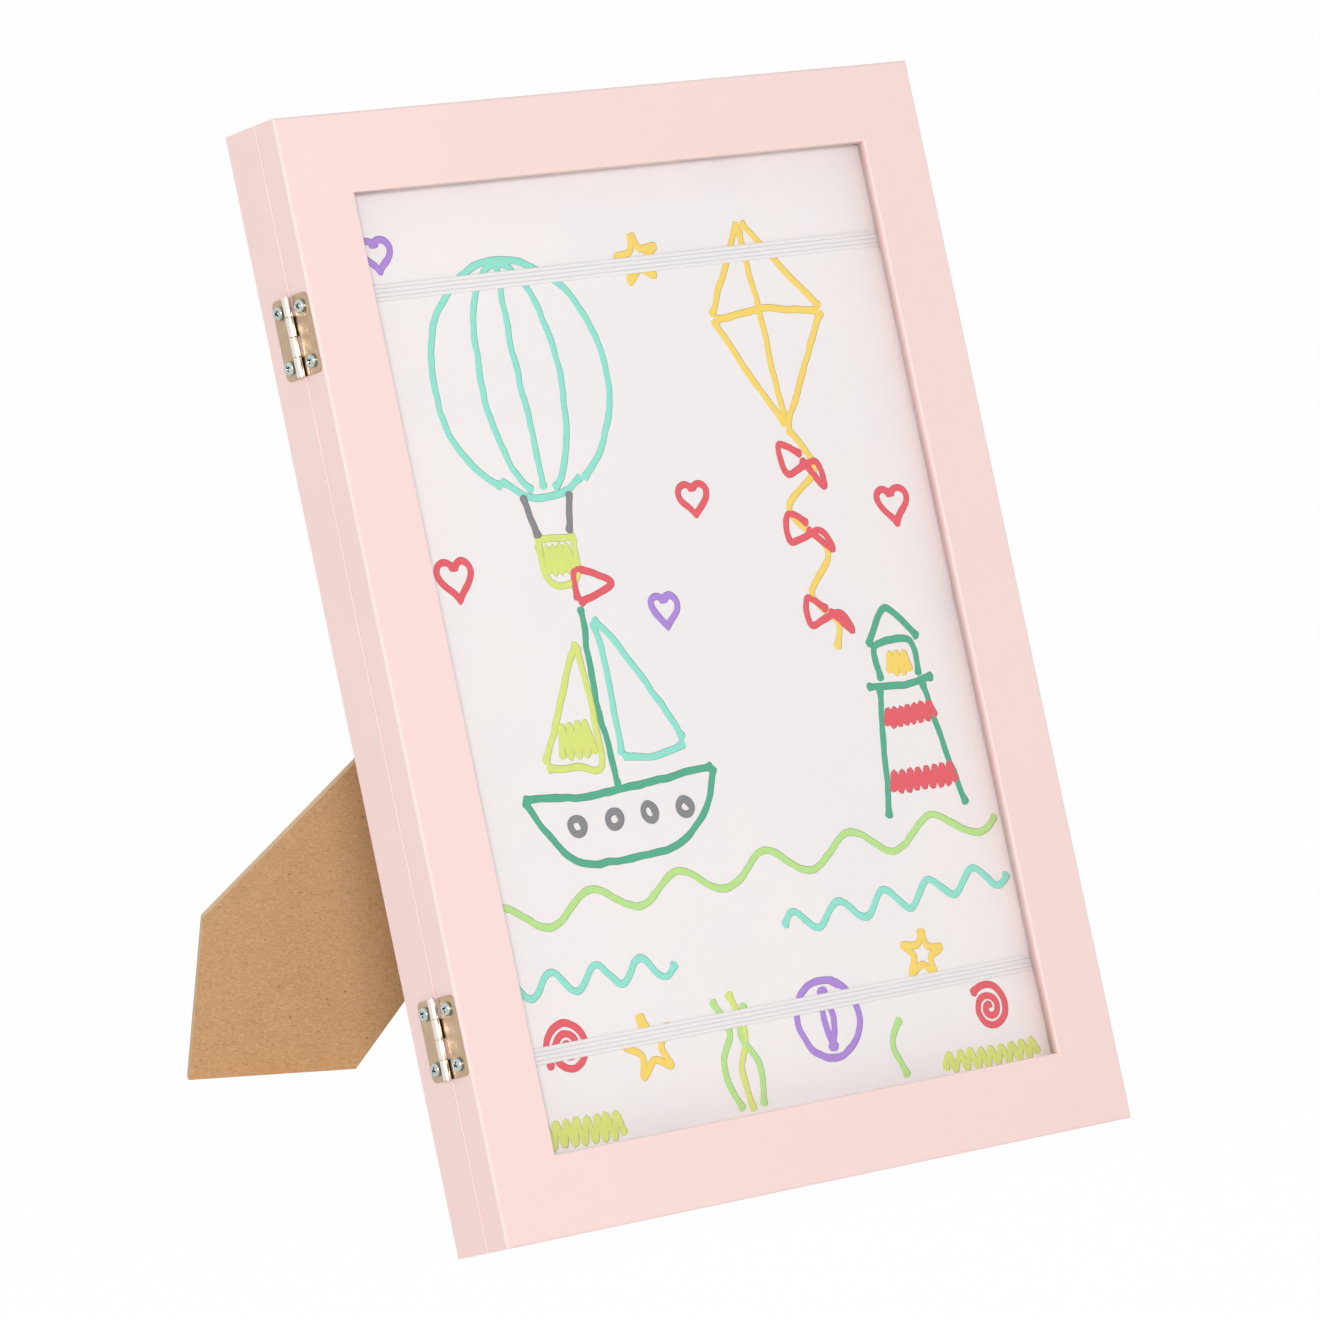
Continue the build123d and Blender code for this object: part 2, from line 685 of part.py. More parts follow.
def knuckle(start, end, plane):
    """Ring about the leg hinge's pin, from start to end along it."""
    ring_start = plane.from_local_coords((start, 0, 0))
    with BuildSketch(Plane(origin=ring_start, x_dir=plane.y_dir, z_dir=plane.x_dir)) as ring:
        Circle(leg_barrel_radius)
        Circle(leg_pin_radius + shaft_play, mode=Mode.SUBTRACT)
    extrude(ring.sketch, amount=end - start)


with BuildPart() as leg_hinge_back_leaf:
    with BuildSketch(panel_plane) as plate:
        with Locations((0, -back_leaf_reach / 2)):
            Rectangle(leg_hinge_length, back_leaf_reach)
        fillet(plate.vertices().sort_by(Axis.Y)[:2], radius=leaf_corner_round)
        notch = leg_barrel_radius + leg_notch_play
        with Locations((0, -notch / 2)):
            Rectangle(2 * (middle_half + leg_knuckle_gap), notch, mode=Mode.SUBTRACT)
        with Locations(*back_rivet_places):
            Circle(rivet_radius + slot_play, mode=Mode.SUBTRACT)
    extrude(amount=leg_leaf_gauge)
    knuckle(-leg_hinge_length / 2, -middle_half - leg_knuckle_gap, closed_pin)
    knuckle(middle_half + leg_knuckle_gap, leg_hinge_length / 2, closed_pin)
leg_hinge_back_leaf.part.label = "leg_hinge_back_leaf"
export_step(leg_hinge_back_leaf.part, "parts/leg_hinge_back_leaf.step")

with BuildPart() as leg_hinge_leg_leaf:
    with BuildSketch(open_pin.offset(leg_outer)) as plate:
        with Locations((0, (leg_start + leg_leaf_reach) / 2)):
            Rectangle(leg_hinge_length, leg_leaf_reach - leg_start)
        fillet(plate.vertices().sort_by(Axis.Y)[-2:], radius=leaf_corner_round)
        with Locations((0, (leg_start - stop_reach) / 2)):
            Rectangle(2 * middle_half, leg_start + stop_reach)
        with Locations(*leg_rivet_places):
            Circle(rivet_radius + slot_play, mode=Mode.SUBTRACT)
    extrude(amount=leg_leaf_gauge)
    knuckle(-middle_half, middle_half, open_pin)
    pin_way = Plane(
        origin=open_pin.from_local_coords((-middle_half, 0, 0)), x_dir=open_pin.y_dir, z_dir=open_pin.x_dir
    )
    bore = circles(pin_way, [(0, 0)], leg_pin_radius + shaft_play)
    extrude(bore, amount=2 * middle_half, mode=Mode.SUBTRACT)
leg_hinge_leg_leaf.part.label = "leg_hinge_leg_leaf"
export_step(leg_hinge_leg_leaf.part, "parts/leg_hinge_leg_leaf.step")

with BuildPart() as leg_hinge_pin:
    pin_end = leg_hinge_length / 2 + leg_knuckle_gap
    for start, radius, length in (
        (-pin_end, leg_pin_radius, 2 * pin_end),
        (-pin_end - leg_pin_head_height, leg_pin_head_radius, leg_pin_head_height),
        (pin_end, leg_pin_head_radius, leg_pin_head_height),
    ):
        origin = closed_pin.from_local_coords((start, 0, 0))
        with BuildSketch(Plane(origin=origin, x_dir=closed_pin.y_dir, z_dir=closed_pin.x_dir)):
            Circle(radius)
        extrude(amount=length)
leg_hinge_pin.part.label = "leg_hinge_pin"
export_step(leg_hinge_pin.part, "parts/leg_hinge_pin.step")

# Rivets: a domed head outside, a shank, and a flat tail inside
rivet_sets = {
    "back_leaf_rivets": (
        panel_plane.offset(leg_leaf_gauge),
        back_rivet_places,
        leg_leaf_gauge + panel_thickness,
    ),
    "leg_leaf_rivets": (
        open_pin.offset(leg_outer + leg_leaf_gauge),
        leg_rivet_places,
        leg_leaf_gauge + leg_thickness,
    ),
}
for name, (face, places, grip) in rivet_sets.items():
    with BuildPart() as rivets:
        extrude(circles(face, places, rivet_head_radius), amount=rivet_head_height)
        rims = rivets.edges().filter_by(GeomType.CIRCLE).group_by(Axis((0, 0, 0), face.z_dir))[-1]
        fillet(rims, radius=rivet_head_round)
        extrude(circles(face, places, rivet_radius), amount=-grip)
        extrude(circles(face.offset(-grip), places, rivet_tail_radius), amount=-rivet_tail_height)
    rivets.part.label = name
    export_step(rivets.part, f"parts/{name}.step")

# Sawtooth hangers on the rim of the box, for upright and landscape hanging
raised_half = hanger_length / 2 - hanger_flat - hanger_slope
tooth_pitch = 2 * raised_half / hanger_teeth
for hanger_name, member_name in (("upright_hanger", "top_rail"), ("landscape_hanger", "right_stile")):
    plane = hanger_planes[member_name]
    side_plane = Plane(origin=plane.origin, x_dir=plane.x_dir, z_dir=plane.y_dir * -1)
    half, flat_end = hanger_length / 2, hanger_length / 2 - hanger_flat
    lower = [(-half, 0), (-flat_end, 0), (-raised_half, hanger_rise)]
    lower += [(-u, z) for u, z in reversed(lower)]
    upper = [(u, z + hanger_gauge) for u, z in reversed(lower)]
    with BuildPart() as hanger:
        with BuildSketch(side_plane):
            with BuildLine():
                Polyline(*lower, *upper, close=True)
            make_face()
        extrude(amount=hanger_width / 2, both=True)
        with BuildSketch(plane):
            with Locations((0, -hanger_width / 2)):
                with GridLocations(tooth_pitch, hanger_width, hanger_teeth, 1):
                    Polygon(
                        (-tooth_pitch / 2, 0), (tooth_pitch / 2, 0), (0, hanger_tooth_depth), align=None
                    )
        extrude(amount=hanger_rise + 2 * hanger_gauge, mode=Mode.SUBTRACT)
        nail_holes = circles(plane, hanger_nail_places, hanger_nail_radius + slot_play)
        extrude(nail_holes, amount=hanger_gauge, mode=Mode.SUBTRACT)
    hanger.part.label = hanger_name
    export_step(hanger.part, f"parts/{hanger_name}.step")

with BuildPart() as hanger_nails:
    for plane in hanger_planes.values():
        top = plane.offset(hanger_gauge)
        extrude(circles(top, hanger_nail_places, hanger_nail_head_radius), amount=hanger_nail_head_height)
        shanks = circles(top, hanger_nail_places, hanger_nail_radius)
        extrude(shanks, amount=-(hanger_gauge + hanger_nail_length - glue_play))
hanger_nails.part.label = "hanger_nails"
export_step(hanger_nails.part, "parts/hanger_nails.step")
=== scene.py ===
import json
from math import cos, pi, radians, sin, sqrt, tau

import bmesh
import bpy
from bpy.props import FloatProperty, FloatVectorProperty, IntProperty, PointerProperty
from mathutils import Matrix, Vector


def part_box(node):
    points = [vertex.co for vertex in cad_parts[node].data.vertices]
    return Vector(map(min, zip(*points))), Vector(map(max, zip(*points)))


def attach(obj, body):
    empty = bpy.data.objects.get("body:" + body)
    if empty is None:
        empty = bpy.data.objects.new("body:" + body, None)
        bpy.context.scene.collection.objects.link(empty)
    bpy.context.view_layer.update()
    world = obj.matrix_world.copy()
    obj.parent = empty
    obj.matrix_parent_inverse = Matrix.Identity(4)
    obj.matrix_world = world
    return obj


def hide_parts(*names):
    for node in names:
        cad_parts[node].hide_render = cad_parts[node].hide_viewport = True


bl_info = {
    "name": "Children's art frame",
    "version": (1, 0, 0),
    "blender": (4, 5, 0),
    "location": "View3D > Sidebar > Art frame",
    "description": "Dresses the packed art frame: paint, sheets, straps, hinges and easel leg",
    "category": "Object",
}

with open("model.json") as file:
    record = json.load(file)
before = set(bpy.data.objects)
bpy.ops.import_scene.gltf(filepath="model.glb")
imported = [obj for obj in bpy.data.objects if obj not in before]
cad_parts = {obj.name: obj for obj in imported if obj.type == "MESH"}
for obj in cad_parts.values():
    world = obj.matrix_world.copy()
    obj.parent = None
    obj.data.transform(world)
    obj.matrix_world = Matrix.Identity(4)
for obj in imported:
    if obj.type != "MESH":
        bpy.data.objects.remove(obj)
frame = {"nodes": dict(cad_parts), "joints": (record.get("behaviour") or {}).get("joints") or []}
nodes = frame["nodes"]
joints = {joint["name"]: joint for joint in frame["joints"]}

MM = 0.001


def middle(node):
    """Middle of a CAD node's box."""
    low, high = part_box(node)
    return (low + high) / 2


def axes_matrix(first, second, third, origin):
    """Matrix from a piece's own axes to the row axes."""
    rows = Matrix((first, second, third)).transposed()
    return Matrix.Translation(origin) @ rows.to_4x4()


# Axes of the leaning frame: right, up along it and out of its front
RIGHT = Vector((1, 0, 0))
UP = -Vector(joints["door_hinge"]["axis"]).normalized()
OUT = RIGHT.cross(UP)
PANE_DEPTH = 4.4 * MM
FRONT = axes_matrix(RIGHT, UP, OUT, middle("glazing_pane") + OUT * PANE_DEPTH)

# Axes of the easel leg as it stands: along its pin, down to the foot and out of its rear face
LEG_OPEN_ANGLE = radians(joints["leg_hinge"]["range_deg"][1])
LEG_PIN = Vector(joints["leg_hinge"]["pos_m"])
LEG_ACROSS = -Vector(joints["leg_hinge"]["axis"]).normalized()
LEG_OUT = Matrix.Rotation(LEG_OPEN_ANGLE, 3, LEG_ACROSS) @ -OUT
LEG = axes_matrix(LEG_ACROSS, LEG_OUT.cross(LEG_ACROSS), LEG_OUT, LEG_PIN)
LEG_BACK = axes_matrix(LEG_ACROSS, (-OUT).cross(LEG_ACROSS), -OUT, LEG_PIN)

# Sizes of the frame that the pieces share
FRAME_HALF_WIDTH = 124 * MM
FRAME_HALF_HEIGHT = 167.5 * MM
FRAME_DEPTH = 24 * MM
SEAM_DEPTH = 9.35 * MM
SHARP_ANGLE = radians(30)
TOUCH = 0.01 * MM

# Sheets and straps
SHEET_HALF_WIDTH = 105 * MM
SHEET_HALF_HEIGHT = 148.5 * MM
SHEET_PLACE = (1 * MM, -1.7 * MM)
SHEET_DEPTH = 11 * MM
SHEET_THICKNESS = 0.25 * MM
STACK_DEPTH = SHEET_DEPTH + 0.42 * MM
STRAP_RISE = 114.5 * MM
STRAP_HALF_LENGTH = 117.9 * MM
INK_RISE = 0.03 * MM
INK_STEP = 0.004 * MM

# Door hinges: places and sizes of their leaves
HINGE_RISE = 104.3 * MM
HINGE_HEIGHT = 24 * MM
HINGE_KNUCKLES = 4
HINGE_SCREW_OUT = 5.3 * MM
HINGE_SCREW_RISE = 8.2 * MM
HINGE_GAUGE = 0.7 * MM
KNUCKLE_GAP = 0.15 * MM

# Easel hinge: its pin over the back panel, its leaves and their rivets
EASEL_LENGTH = 34 * MM
EASEL_MIDDLE_HALF = 8.5 * MM
EASEL_PIN_RISE = 2.25 * MM
EASEL_GAUGE = 0.8 * MM
EASEL_LEG_FACE = 1.35 * MM
RIVET_SIDE = 10.88 * MM
BACK_RIVET_UP = 9.6 * MM
LEG_RIVET_DOWN = 12 * MM

# Pins of the back panel, along its sides and along its top and bottom
PANEL_PIN_COLUMN = 110 * MM
PANEL_PIN_ROW = 153.5 * MM
PANEL_PIN_SINK = 0.4 * MM
PANEL_PIN_RISES = (-0.36, -0.12, 0.12, 0.36)
PANEL_PIN_SPREADS = (-0.3, 0.0, 0.3)

# Stage: the lamp from the frame's middle, the camera in the frame's own axes
KEY_OFFSET = Vector((-2.06, -2.476, 1.051))
KEY_SIZE = 0.5
FLOOR_REACH = 12
FLOOR_SEEN_SHARE = 0.985
SENSOR_WIDTH = 36
CLIP_START, CLIP_END = 0.1, 100
CAMERA_PLACE = Vector((-1524.39, -164.51, 1809.78)) * MM
CAMERA_RIGHT = Vector((0.76198, -0.20554, 0.61412))
CAMERA_DOWN = Vector((-0.11648, -0.97633, -0.18224))
CAMERA_AHEAD = Vector((0.63704, 0.06733, -0.76789))


def srgb(red, green, blue):
    """Linear colour from display values of 0 to 255."""
    shares = [value / 255 for value in (red, green, blue)]
    return tuple(s / 12.92 if s <= 0.04045 else ((s + 0.055) / 1.055) ** 2.4 for s in shares)


def toned(colour, share, lift=0.0):
    """Colour made darker or brighter."""
    return tuple(min(1.0, share * c + lift) for c in colour)


def colour_property(name, description, value):
    """A colour that a user may change."""
    return FloatVectorProperty(
        name=name, description=description, default=value, subtype="COLOR", size=3, min=0, max=1
    )


def length_property(name, description, value):
    """A length that a user may change."""
    return FloatProperty(
        name=name, description=description, default=value, subtype="DISTANCE", unit="LENGTH", min=0
    )


def count_property(name, description, value):
    """A number of like things that a user may change."""
    return IntProperty(name=name, description=description, default=value, min=1)


class PaintSettings(bpy.types.PropertyGroup):
    """Paint of the wooden members"""

    colour: colour_property("Paint", "Colour of the paint", srgb(247, 218, 214))
    shade: colour_property("Thin paint", "Colour where the paint is thinner", srgb(241, 209, 204))
    cloud: colour_property("Cloud", "Colour of the broad paler clouds", srgb(250, 223, 219))
    soft_edge: length_property("Soft edge", "Width of the eased edges", 0.25 * MM)
    rear_arris: length_property("Rear arris", "Width of the box's rounded rear arris", 0.8 * MM)


class BoardSettings(bpy.types.PropertyGroup):
    """Fibreboard of the easel leg and the back panel"""

    face: colour_property("Face", "Colour of the board's pressed faces", srgb(207, 165, 120))
    fibre: colour_property("Fibre", "Colour of the paler fibres", srgb(228, 190, 146))
    speck: colour_property("Speck", "Colour of the dark specks", srgb(138, 94, 56))
    cut: colour_property("Cut edge", "Colour of the cut edges", srgb(228, 198, 160))
    soft_edge: length_property("Soft edge", "Width of the eased edges", 0.15 * MM)


class SheetSettings(bpy.types.PropertyGroup):
    """Drawing sheet and the sheets stored behind it"""

    paper: colour_property("Paper", "Colour of the drawing paper", srgb(243, 236, 234))
    bow: length_property("Bow", "How far the top sheet bows out between the straps", 0.45 * MM)
    stroke: length_property("Stroke", "Width of a felt-tip stroke", 2.3 * MM)
    wobble: length_property("Wobble", "How unsteady the hand was", 0.7 * MM)
    count: count_property("Stored sheets", "Sheets behind the top one", 30)


class StrapSettings(bpy.types.PropertyGroup):
    """Elastic straps over the sheets"""

    colour: colour_property("Elastic", "Colour of the elastic", srgb(240, 235, 234))
    # Painted shade between the ribs and down their flanks.
    groove: colour_property("Groove", "Colour between the ribs", srgb(211, 208, 210))
    width: length_property("Width", "Width of a strap", 5.2 * MM)
    thickness: length_property("Thickness", "Thickness of a strap", 0.8 * MM)
    ribs: count_property("Ribs", "Ribs along a strap", 4)


class MetalSettings(bpy.types.PropertyGroup):
    """Hinges, screws, pins and hangers"""

    nickel: colour_property("Nickel", "Colour of the hinges", srgb(201, 178, 152))
    zinc: colour_property("Zinc", "Colour of the screws", srgb(204, 214, 211))
    steel: colour_property("Steel", "Colour of pins, nails and staples", srgb(176, 176, 178))
    brass: colour_property("Brass", "Colour of the hangers", srgb(214, 184, 120))
    screw_radius: length_property("Screw head", "Radius of a hinge screw's head", 2.0 * MM)
    screw_height: length_property("Screw height", "Height of a hinge screw's head", 1.6 * MM)
    soft_edge: length_property("Soft edge", "Width of the eased edges", 0.1 * MM)


class StageSettings(bpy.types.PropertyGroup):
    """Floor, lamps and camera"""

    key: FloatProperty(
        name="Key lamp", description="Power of the key lamp", default=64, min=0, unit="POWER"
    )
    sky: FloatProperty(
        name="Sky", description="Strength of the light from all sides", default=0.5, min=0
    )
    lens: FloatProperty(
        name="Lens", description="Focal length", default=216.17, min=1, unit="CAMERA"
    )


settings_classes = {
    "art_frame_paint": PaintSettings,
    "art_frame_board": BoardSettings,
    "art_frame_sheet": SheetSettings,
    "art_frame_strap": StrapSettings,
    "art_frame_metal": MetalSettings,
    "art_frame_stage": StageSettings,
}


def settings(name):
    """One group of the scene's settings."""
    return getattr(bpy.context.scene, "art_frame_" + name)


WHITE, BLACK = (1, 1, 1, 1), (0, 0, 0, 1)


def is_socket(value):
    """Whether a value comes from another node."""
    return isinstance(value, bpy.types.NodeSocket)


def full_colour(colour):
    """Colour as a node's input holds it. One that comes from a socket stays as it is."""
    return colour if is_socket(colour) else (*colour[:3], 1)


class NodeMaker:
    """Adds nodes to one tree. A value that is a socket is linked, any other is set."""

    def __init__(self, tree):
        self.tree = tree

    def join(self, source, target):
        """Link from an output to an input."""
        self.tree.links.new(source, target)

    def add(self, kind, values=(), **named):
        """Outputs of a new node. Names with a capital are its inputs, others its settings."""
        node = self.tree.nodes.new(kind)
        values = dict(values)
        for name, value in named.items():
            if name[0].isupper():
                values[name.replace("_", " ")] = value
            else:
                setattr(node, name, value)
        for key, value in values.items():
            if is_socket(value):
                self.join(value, node.inputs[key])
            else:
                node.inputs[key].default_value = value
        return node.outputs

    def math(self, operation, *values):
        """Result of a Math node."""
        return self.add("ShaderNodeMath", enumerate(values), operation=operation)[0]

    def vectors(self, operation, *values, **named):
        """Vector that a Vector Math node gives."""
        return self.add("ShaderNodeVectorMath", enumerate(values), operation=operation, **named)[0]

    def vector(self, x=0.0, y=0.0, z=0.0):
        """Vector from three numbers."""
        return self.add("ShaderNodeCombineXYZ", X=x, Y=y, Z=z)[0]

    def noise(self, place, scale, detail, roughness=0.5):
        """Outputs of a Noise Texture."""
        values = {"Vector": place, "Scale": scale, "Detail": detail, "Roughness": roughness}
        return self.add("ShaderNodeTexNoise", values)

    def ramp(self, value, low, high, to_low=0.0, to_high=1.0, **settings):
        """Result of a Map Range node."""
        values = enumerate((value, low, high, to_low, to_high))
        return self.add("ShaderNodeMapRange", values, **settings)[0]

    def mix(self, share, first, second):
        """Mix of two colours."""
        values = {0: share, 6: full_colour(first), 7: full_colour(second)}
        return self.add("ShaderNodeMix", values, data_type="RGBA")[2]


FLOAT, VECTOR, COLOR = "NodeSocketFloat", "NodeSocketVector", "NodeSocketColor"
GEOMETRY, INTEGER = "NodeSocketGeometry", "NodeSocketInt"
OBJECT, MATERIAL = "NodeSocketObject", "NodeSocketMaterial"


def new_group(name, kind, inputs, outputs):
    """Maker, inputs and outputs of a node group. Its inputs are (name, type, default)."""
    tree = bpy.data.node_groups.new(name, kind)
    for label, socket_type, default in inputs:
        socket = tree.interface.new_socket(label, in_out="INPUT", socket_type=socket_type)
        if default is not None:
            socket.default_value = default
    for label, socket_type in outputs:
        tree.interface.new_socket(label, in_out="OUTPUT", socket_type=socket_type)
    given = tree.nodes.new("NodeGroupInput").outputs
    result = tree.nodes.new("NodeGroupOutput").inputs
    return NodeMaker(tree), given, result


def mottle_group():
    """Cloudy change from one colour to another."""
    inputs = [
        ("Place", VECTOR, None), ("Base", COLOR, WHITE), ("Tint", COLOR, BLACK),
        ("Size", FLOAT, 0.01), ("Amount", FLOAT, 1.0), ("Low", FLOAT, 0.35), ("High", FLOAT, 0.65),
    ]
    outputs = [("Color", COLOR), ("Mask", FLOAT)]
    make, given, result = new_group("mottle", "ShaderNodeTree", inputs, outputs)
    scale = make.math("DIVIDE", 1.0, given["Size"])
    noise = make.noise(given["Place"], scale, detail=4.0, roughness=0.6)
    clouds = make.ramp(noise["Fac"], given["Low"], given["High"])
    mask = make.math("MULTIPLY", clouds, given["Amount"])
    make.join(make.mix(mask, given["Base"], given["Tint"]), result["Color"])
    make.join(mask, result["Mask"])


def speck_group():
    """Scattered small dots, soft from half their radius out."""
    inputs = [
        ("Place", VECTOR, None), ("Spacing", FLOAT, 0.002), ("Radius", FLOAT, 0.2),
        ("Share", FLOAT, 0.3),
    ]
    make, given, result = new_group("specks", "ShaderNodeTree", inputs, [("Mask", FLOAT)])
    scale = make.math("DIVIDE", 1.0, given["Spacing"])
    cells = make.add("ShaderNodeTexVoronoi", Vector=given["Place"], Scale=scale)
    inner = make.math("MULTIPLY", given["Radius"], 0.5)
    dot = make.ramp(cells["Distance"], given["Radius"], inner)
    lot = make.add("ShaderNodeSeparateColor", Color=cells["Color"])[0]
    kept = make.math("LESS_THAN", lot, given["Share"])
    make.join(make.math("MULTIPLY", dot, kept), result["Mask"])


def relief_group():
    """Fine height of a surface, and a roughness that changes broadly over it."""
    inputs = [
        ("Place", VECTOR, None), ("Size", FLOAT, 0.001), ("Roughness", FLOAT, 0.5),
        ("Spread", FLOAT, 0.1),
    ]
    outputs = [("Height", FLOAT), ("Roughness", FLOAT)]
    make, given, result = new_group("relief", "ShaderNodeTree", inputs, outputs)
    broader = 12.0
    scale = make.math("DIVIDE", 1.0, given["Size"])
    fine = make.noise(given["Place"], scale, detail=3.0)
    broad = make.noise(given["Place"], make.math("DIVIDE", scale, broader), detail=2.0)
    change = make.math("MULTIPLY", make.math("SUBTRACT", broad["Fac"], 0.5), given["Spread"])
    make.join(fine["Fac"], result["Height"])
    make.join(make.math("ADD", given["Roughness"], change), result["Roughness"])


class Finish(NodeMaker):
    """Material with a Principled shader, whose plain values are set on its sockets."""

    def __init__(self, name, **shader_values):
        material = bpy.data.materials.new(name)
        material.use_nodes = True
        super().__init__(material.node_tree)
        self.shader = self.tree.nodes["Principled BSDF"]
        for key, value in shader_values.items():
            self.shader.inputs[key.replace("_", " ")].default_value = value

    def place_on(self, axes):
        """Object coordinates turned to a piece's own axes."""
        turn = tuple(axes.to_3x3().inverted().to_euler())
        place = self.add("ShaderNodeTexCoord")["Object"]
        return self.add("ShaderNodeMapping", Vector=place, Rotation=turn)[0]

    def stretch(self, place, *scale):
        """Place scaled along its axes, so that a pattern on it is drawn out."""
        return self.add("ShaderNodeMapping", Vector=place, Scale=scale)[0]

    def mark(self, name):
        """Value that a piece's mesh carries for its material."""
        return self.add("ShaderNodeAttribute", attribute_name=name)["Fac"]

    def group(self, name, **values):
        """Outputs of one of the shader groups, placed here with its own values."""
        return self.add("ShaderNodeGroup", node_tree=bpy.data.node_groups[name], **values)

    def mottle(self, place, base, tint, size, amount, low=0.35, high=0.65):
        """Colour and mask of a cloudy change from a base colour to a tint."""
        colours = {"Base": full_colour(base), "Tint": full_colour(tint)}
        return self.group(
            "mottle", Place=place, Size=size, Amount=amount, Low=low, High=high, **colours
        )

    def relief(self, place, size, roughness, spread):
        """Height and roughness of the surface."""
        return self.group("relief", Place=place, Size=size, Roughness=roughness, Spread=spread)

    def coat(self, colour, relief, strength, depth, height=None):
        """Gives the surface its colour, its roughness and a bump."""
        height = relief["Height"] if height is None else height
        bump = self.add("ShaderNodeBump", Height=height, Strength=strength, Distance=depth)[0]
        sources = {"Base Color": colour, "Roughness": relief["Roughness"], "Normal": bump}
        for name, source in sources.items():
            self.join(source, self.shader.inputs[name])


def painted_wood(name, along):
    """Satin paint over wood whose grain, along one of the frame's axes, still shows a little."""
    paint = settings("paint")
    finish = Finish(name, Specular_IOR_Level=0.22)
    place = finish.place_on(FRONT)
    grain = finish.stretch(place, *(0.03 if axis == along else 1 for axis in range(3)))
    streaks = finish.mottle(grain, paint.colour, paint.shade, size=0.9 * MM, amount=0.16)
    clouds = finish.mottle(place, streaks["Color"], paint.cloud, size=40 * MM, amount=0.25)
    film = finish.relief(place, size=1.1 * MM, roughness=0.42, spread=0.12)
    height = finish.math("ADD", film["Height"], finish.math("MULTIPLY", streaks["Mask"], 1.5))
    finish.coat(clouds["Color"], film, strength=0.12, depth=0.05 * MM, height=height)


def fibreboard(name, axes, fibre_turn):
    """Brown fibreboard: pressed faces with fibres and specks, and a paler cut edge."""
    board = settings("board")
    finish = Finish(name, Specular_IOR_Level=0.3)
    place = finish.place_on(axes @ Matrix.Rotation(fibre_turn, 4, "Z"))
    drawn = finish.stretch(place, 0.55, 1, 1)
    broad = finish.mottle(place, board.face, toned(board.face, 0.9), size=12 * MM, amount=0.5)
    pale = finish.mottle(
        drawn, broad["Color"], board.fibre, size=0.55 * MM, amount=0.65, low=0.5, high=0.66
    )
    shifted = finish.stretch(drawn, 0.8, 1.2, 1)
    dark = finish.mottle(
        shifted, pale["Color"], board.speck, size=0.55 * MM, amount=0.42, low=0.55, high=0.7
    )
    fine = finish.group(
        "specks", Place=finish.stretch(place, 0.7, 1, 1), Spacing=1.5 * MM, Radius=0.2, Share=0.4
    )
    coarse = finish.group(
        "specks", Place=finish.stretch(place, 0.85, 1, 1), Spacing=4.6 * MM, Radius=0.11, Share=0.3
    )
    face = dark["Color"]
    for specks, amount in ((fine, 0.5), (coarse, 0.75)):
        face = finish.mix(finish.math("MULTIPLY", specks["Mask"], amount), face, board.speck)
    layers = finish.mottle(
        finish.stretch(place, 0.15, 0.15, 1), board.cut, toned(board.cut, 0.8),
        size=0.35 * MM, amount=0.6,
    )
    values = {0: finish.add("ShaderNodeTexCoord")["Normal"], 1: tuple(axes.to_3x3().col[2])}
    toward = finish.add("ShaderNodeVectorMath", values, operation="DOT_PRODUCT")["Value"]
    facing = finish.ramp(finish.math("ABSOLUTE", toward), low=0.75, high=0.97)
    relief = finish.relief(drawn, size=0.45 * MM, roughness=0.75, spread=0.12)
    height = finish.math("SUBTRACT", relief["Height"], coarse["Mask"])
    colour = finish.mix(facing, layers["Color"], face)
    finish.coat(colour, relief, strength=0.3, depth=0.06 * MM, height=height)


def drawing_paper(name, tinted=False):
    """Uncoated paper with its faint flocking, and a tone of its own for each stored sheet."""
    base = settings("sheet").paper
    warm, flocked, cool = srgb(246, 238, 220), srgb(237, 231, 231), srgb(235, 230, 235)
    finish = Finish(name, Specular_IOR_Level=0.25)
    place = finish.place_on(FRONT)
    if tinted:
        base = finish.mix(finish.mark("sheet_tone"), base, warm)
    flock = finish.mottle(place, base, flocked, size=1.3 * MM, amount=0.3)
    broad = finish.mottle(place, flock["Color"], cool, size=60 * MM, amount=0.35)
    relief = finish.relief(place, size=0.25 * MM, roughness=0.85, spread=0.1)
    finish.coat(broad["Color"], relief, strength=0.25, depth=0.03 * MM)


def felt_tip(name, colour):
    """Felt-tip ink soaked into paper, a little darker where it pools."""
    finish = Finish(name, Specular_IOR_Level=0.25, Alpha=0.95)
    place = finish.place_on(FRONT)
    soaked = finish.mottle(
        place, colour, toned(colour, 0.8), size=2.2 * MM, amount=0.4, low=0.45, high=0.75
    )
    pale = toned(colour, 1.08, lift=0.02)
    grain = finish.mottle(place, soaked["Color"], pale, size=0.4 * MM, amount=0.4)
    relief = finish.relief(place, size=0.25 * MM, roughness=0.8, spread=0.1)
    finish.coat(grain["Color"], relief, strength=0.2, depth=0.02 * MM)


def elastic_tape(name):
    """White ribbed elastic: soft threads across it, and painted shade as grey lines between its
    ribs and down their flanks.
    """
    strap = settings("strap")
    finish = Finish(name, Specular_IOR_Level=0.3, Sheen_Weight=0.25, Sheen_Roughness=0.5)
    place = finish.place_on(FRONT)
    # The groove colour is painted shade where the mesh marks the creases.
    ribbed = finish.mix(finish.mark("groove"), strap.colour, strap.groove)
    across, thread = finish.stretch(place, 1, 0.12, 0.12), srgb(228, 225, 226)
    threads = finish.mottle(across, ribbed, thread, size=0.35 * MM, amount=0.3)
    weave = finish.stretch(place, 1, 0.2, 0.2)
    relief = finish.relief(weave, size=0.3 * MM, roughness=0.7, spread=0.1)
    finish.coat(threads["Color"], relief, strength=0.5, depth=0.06 * MM)


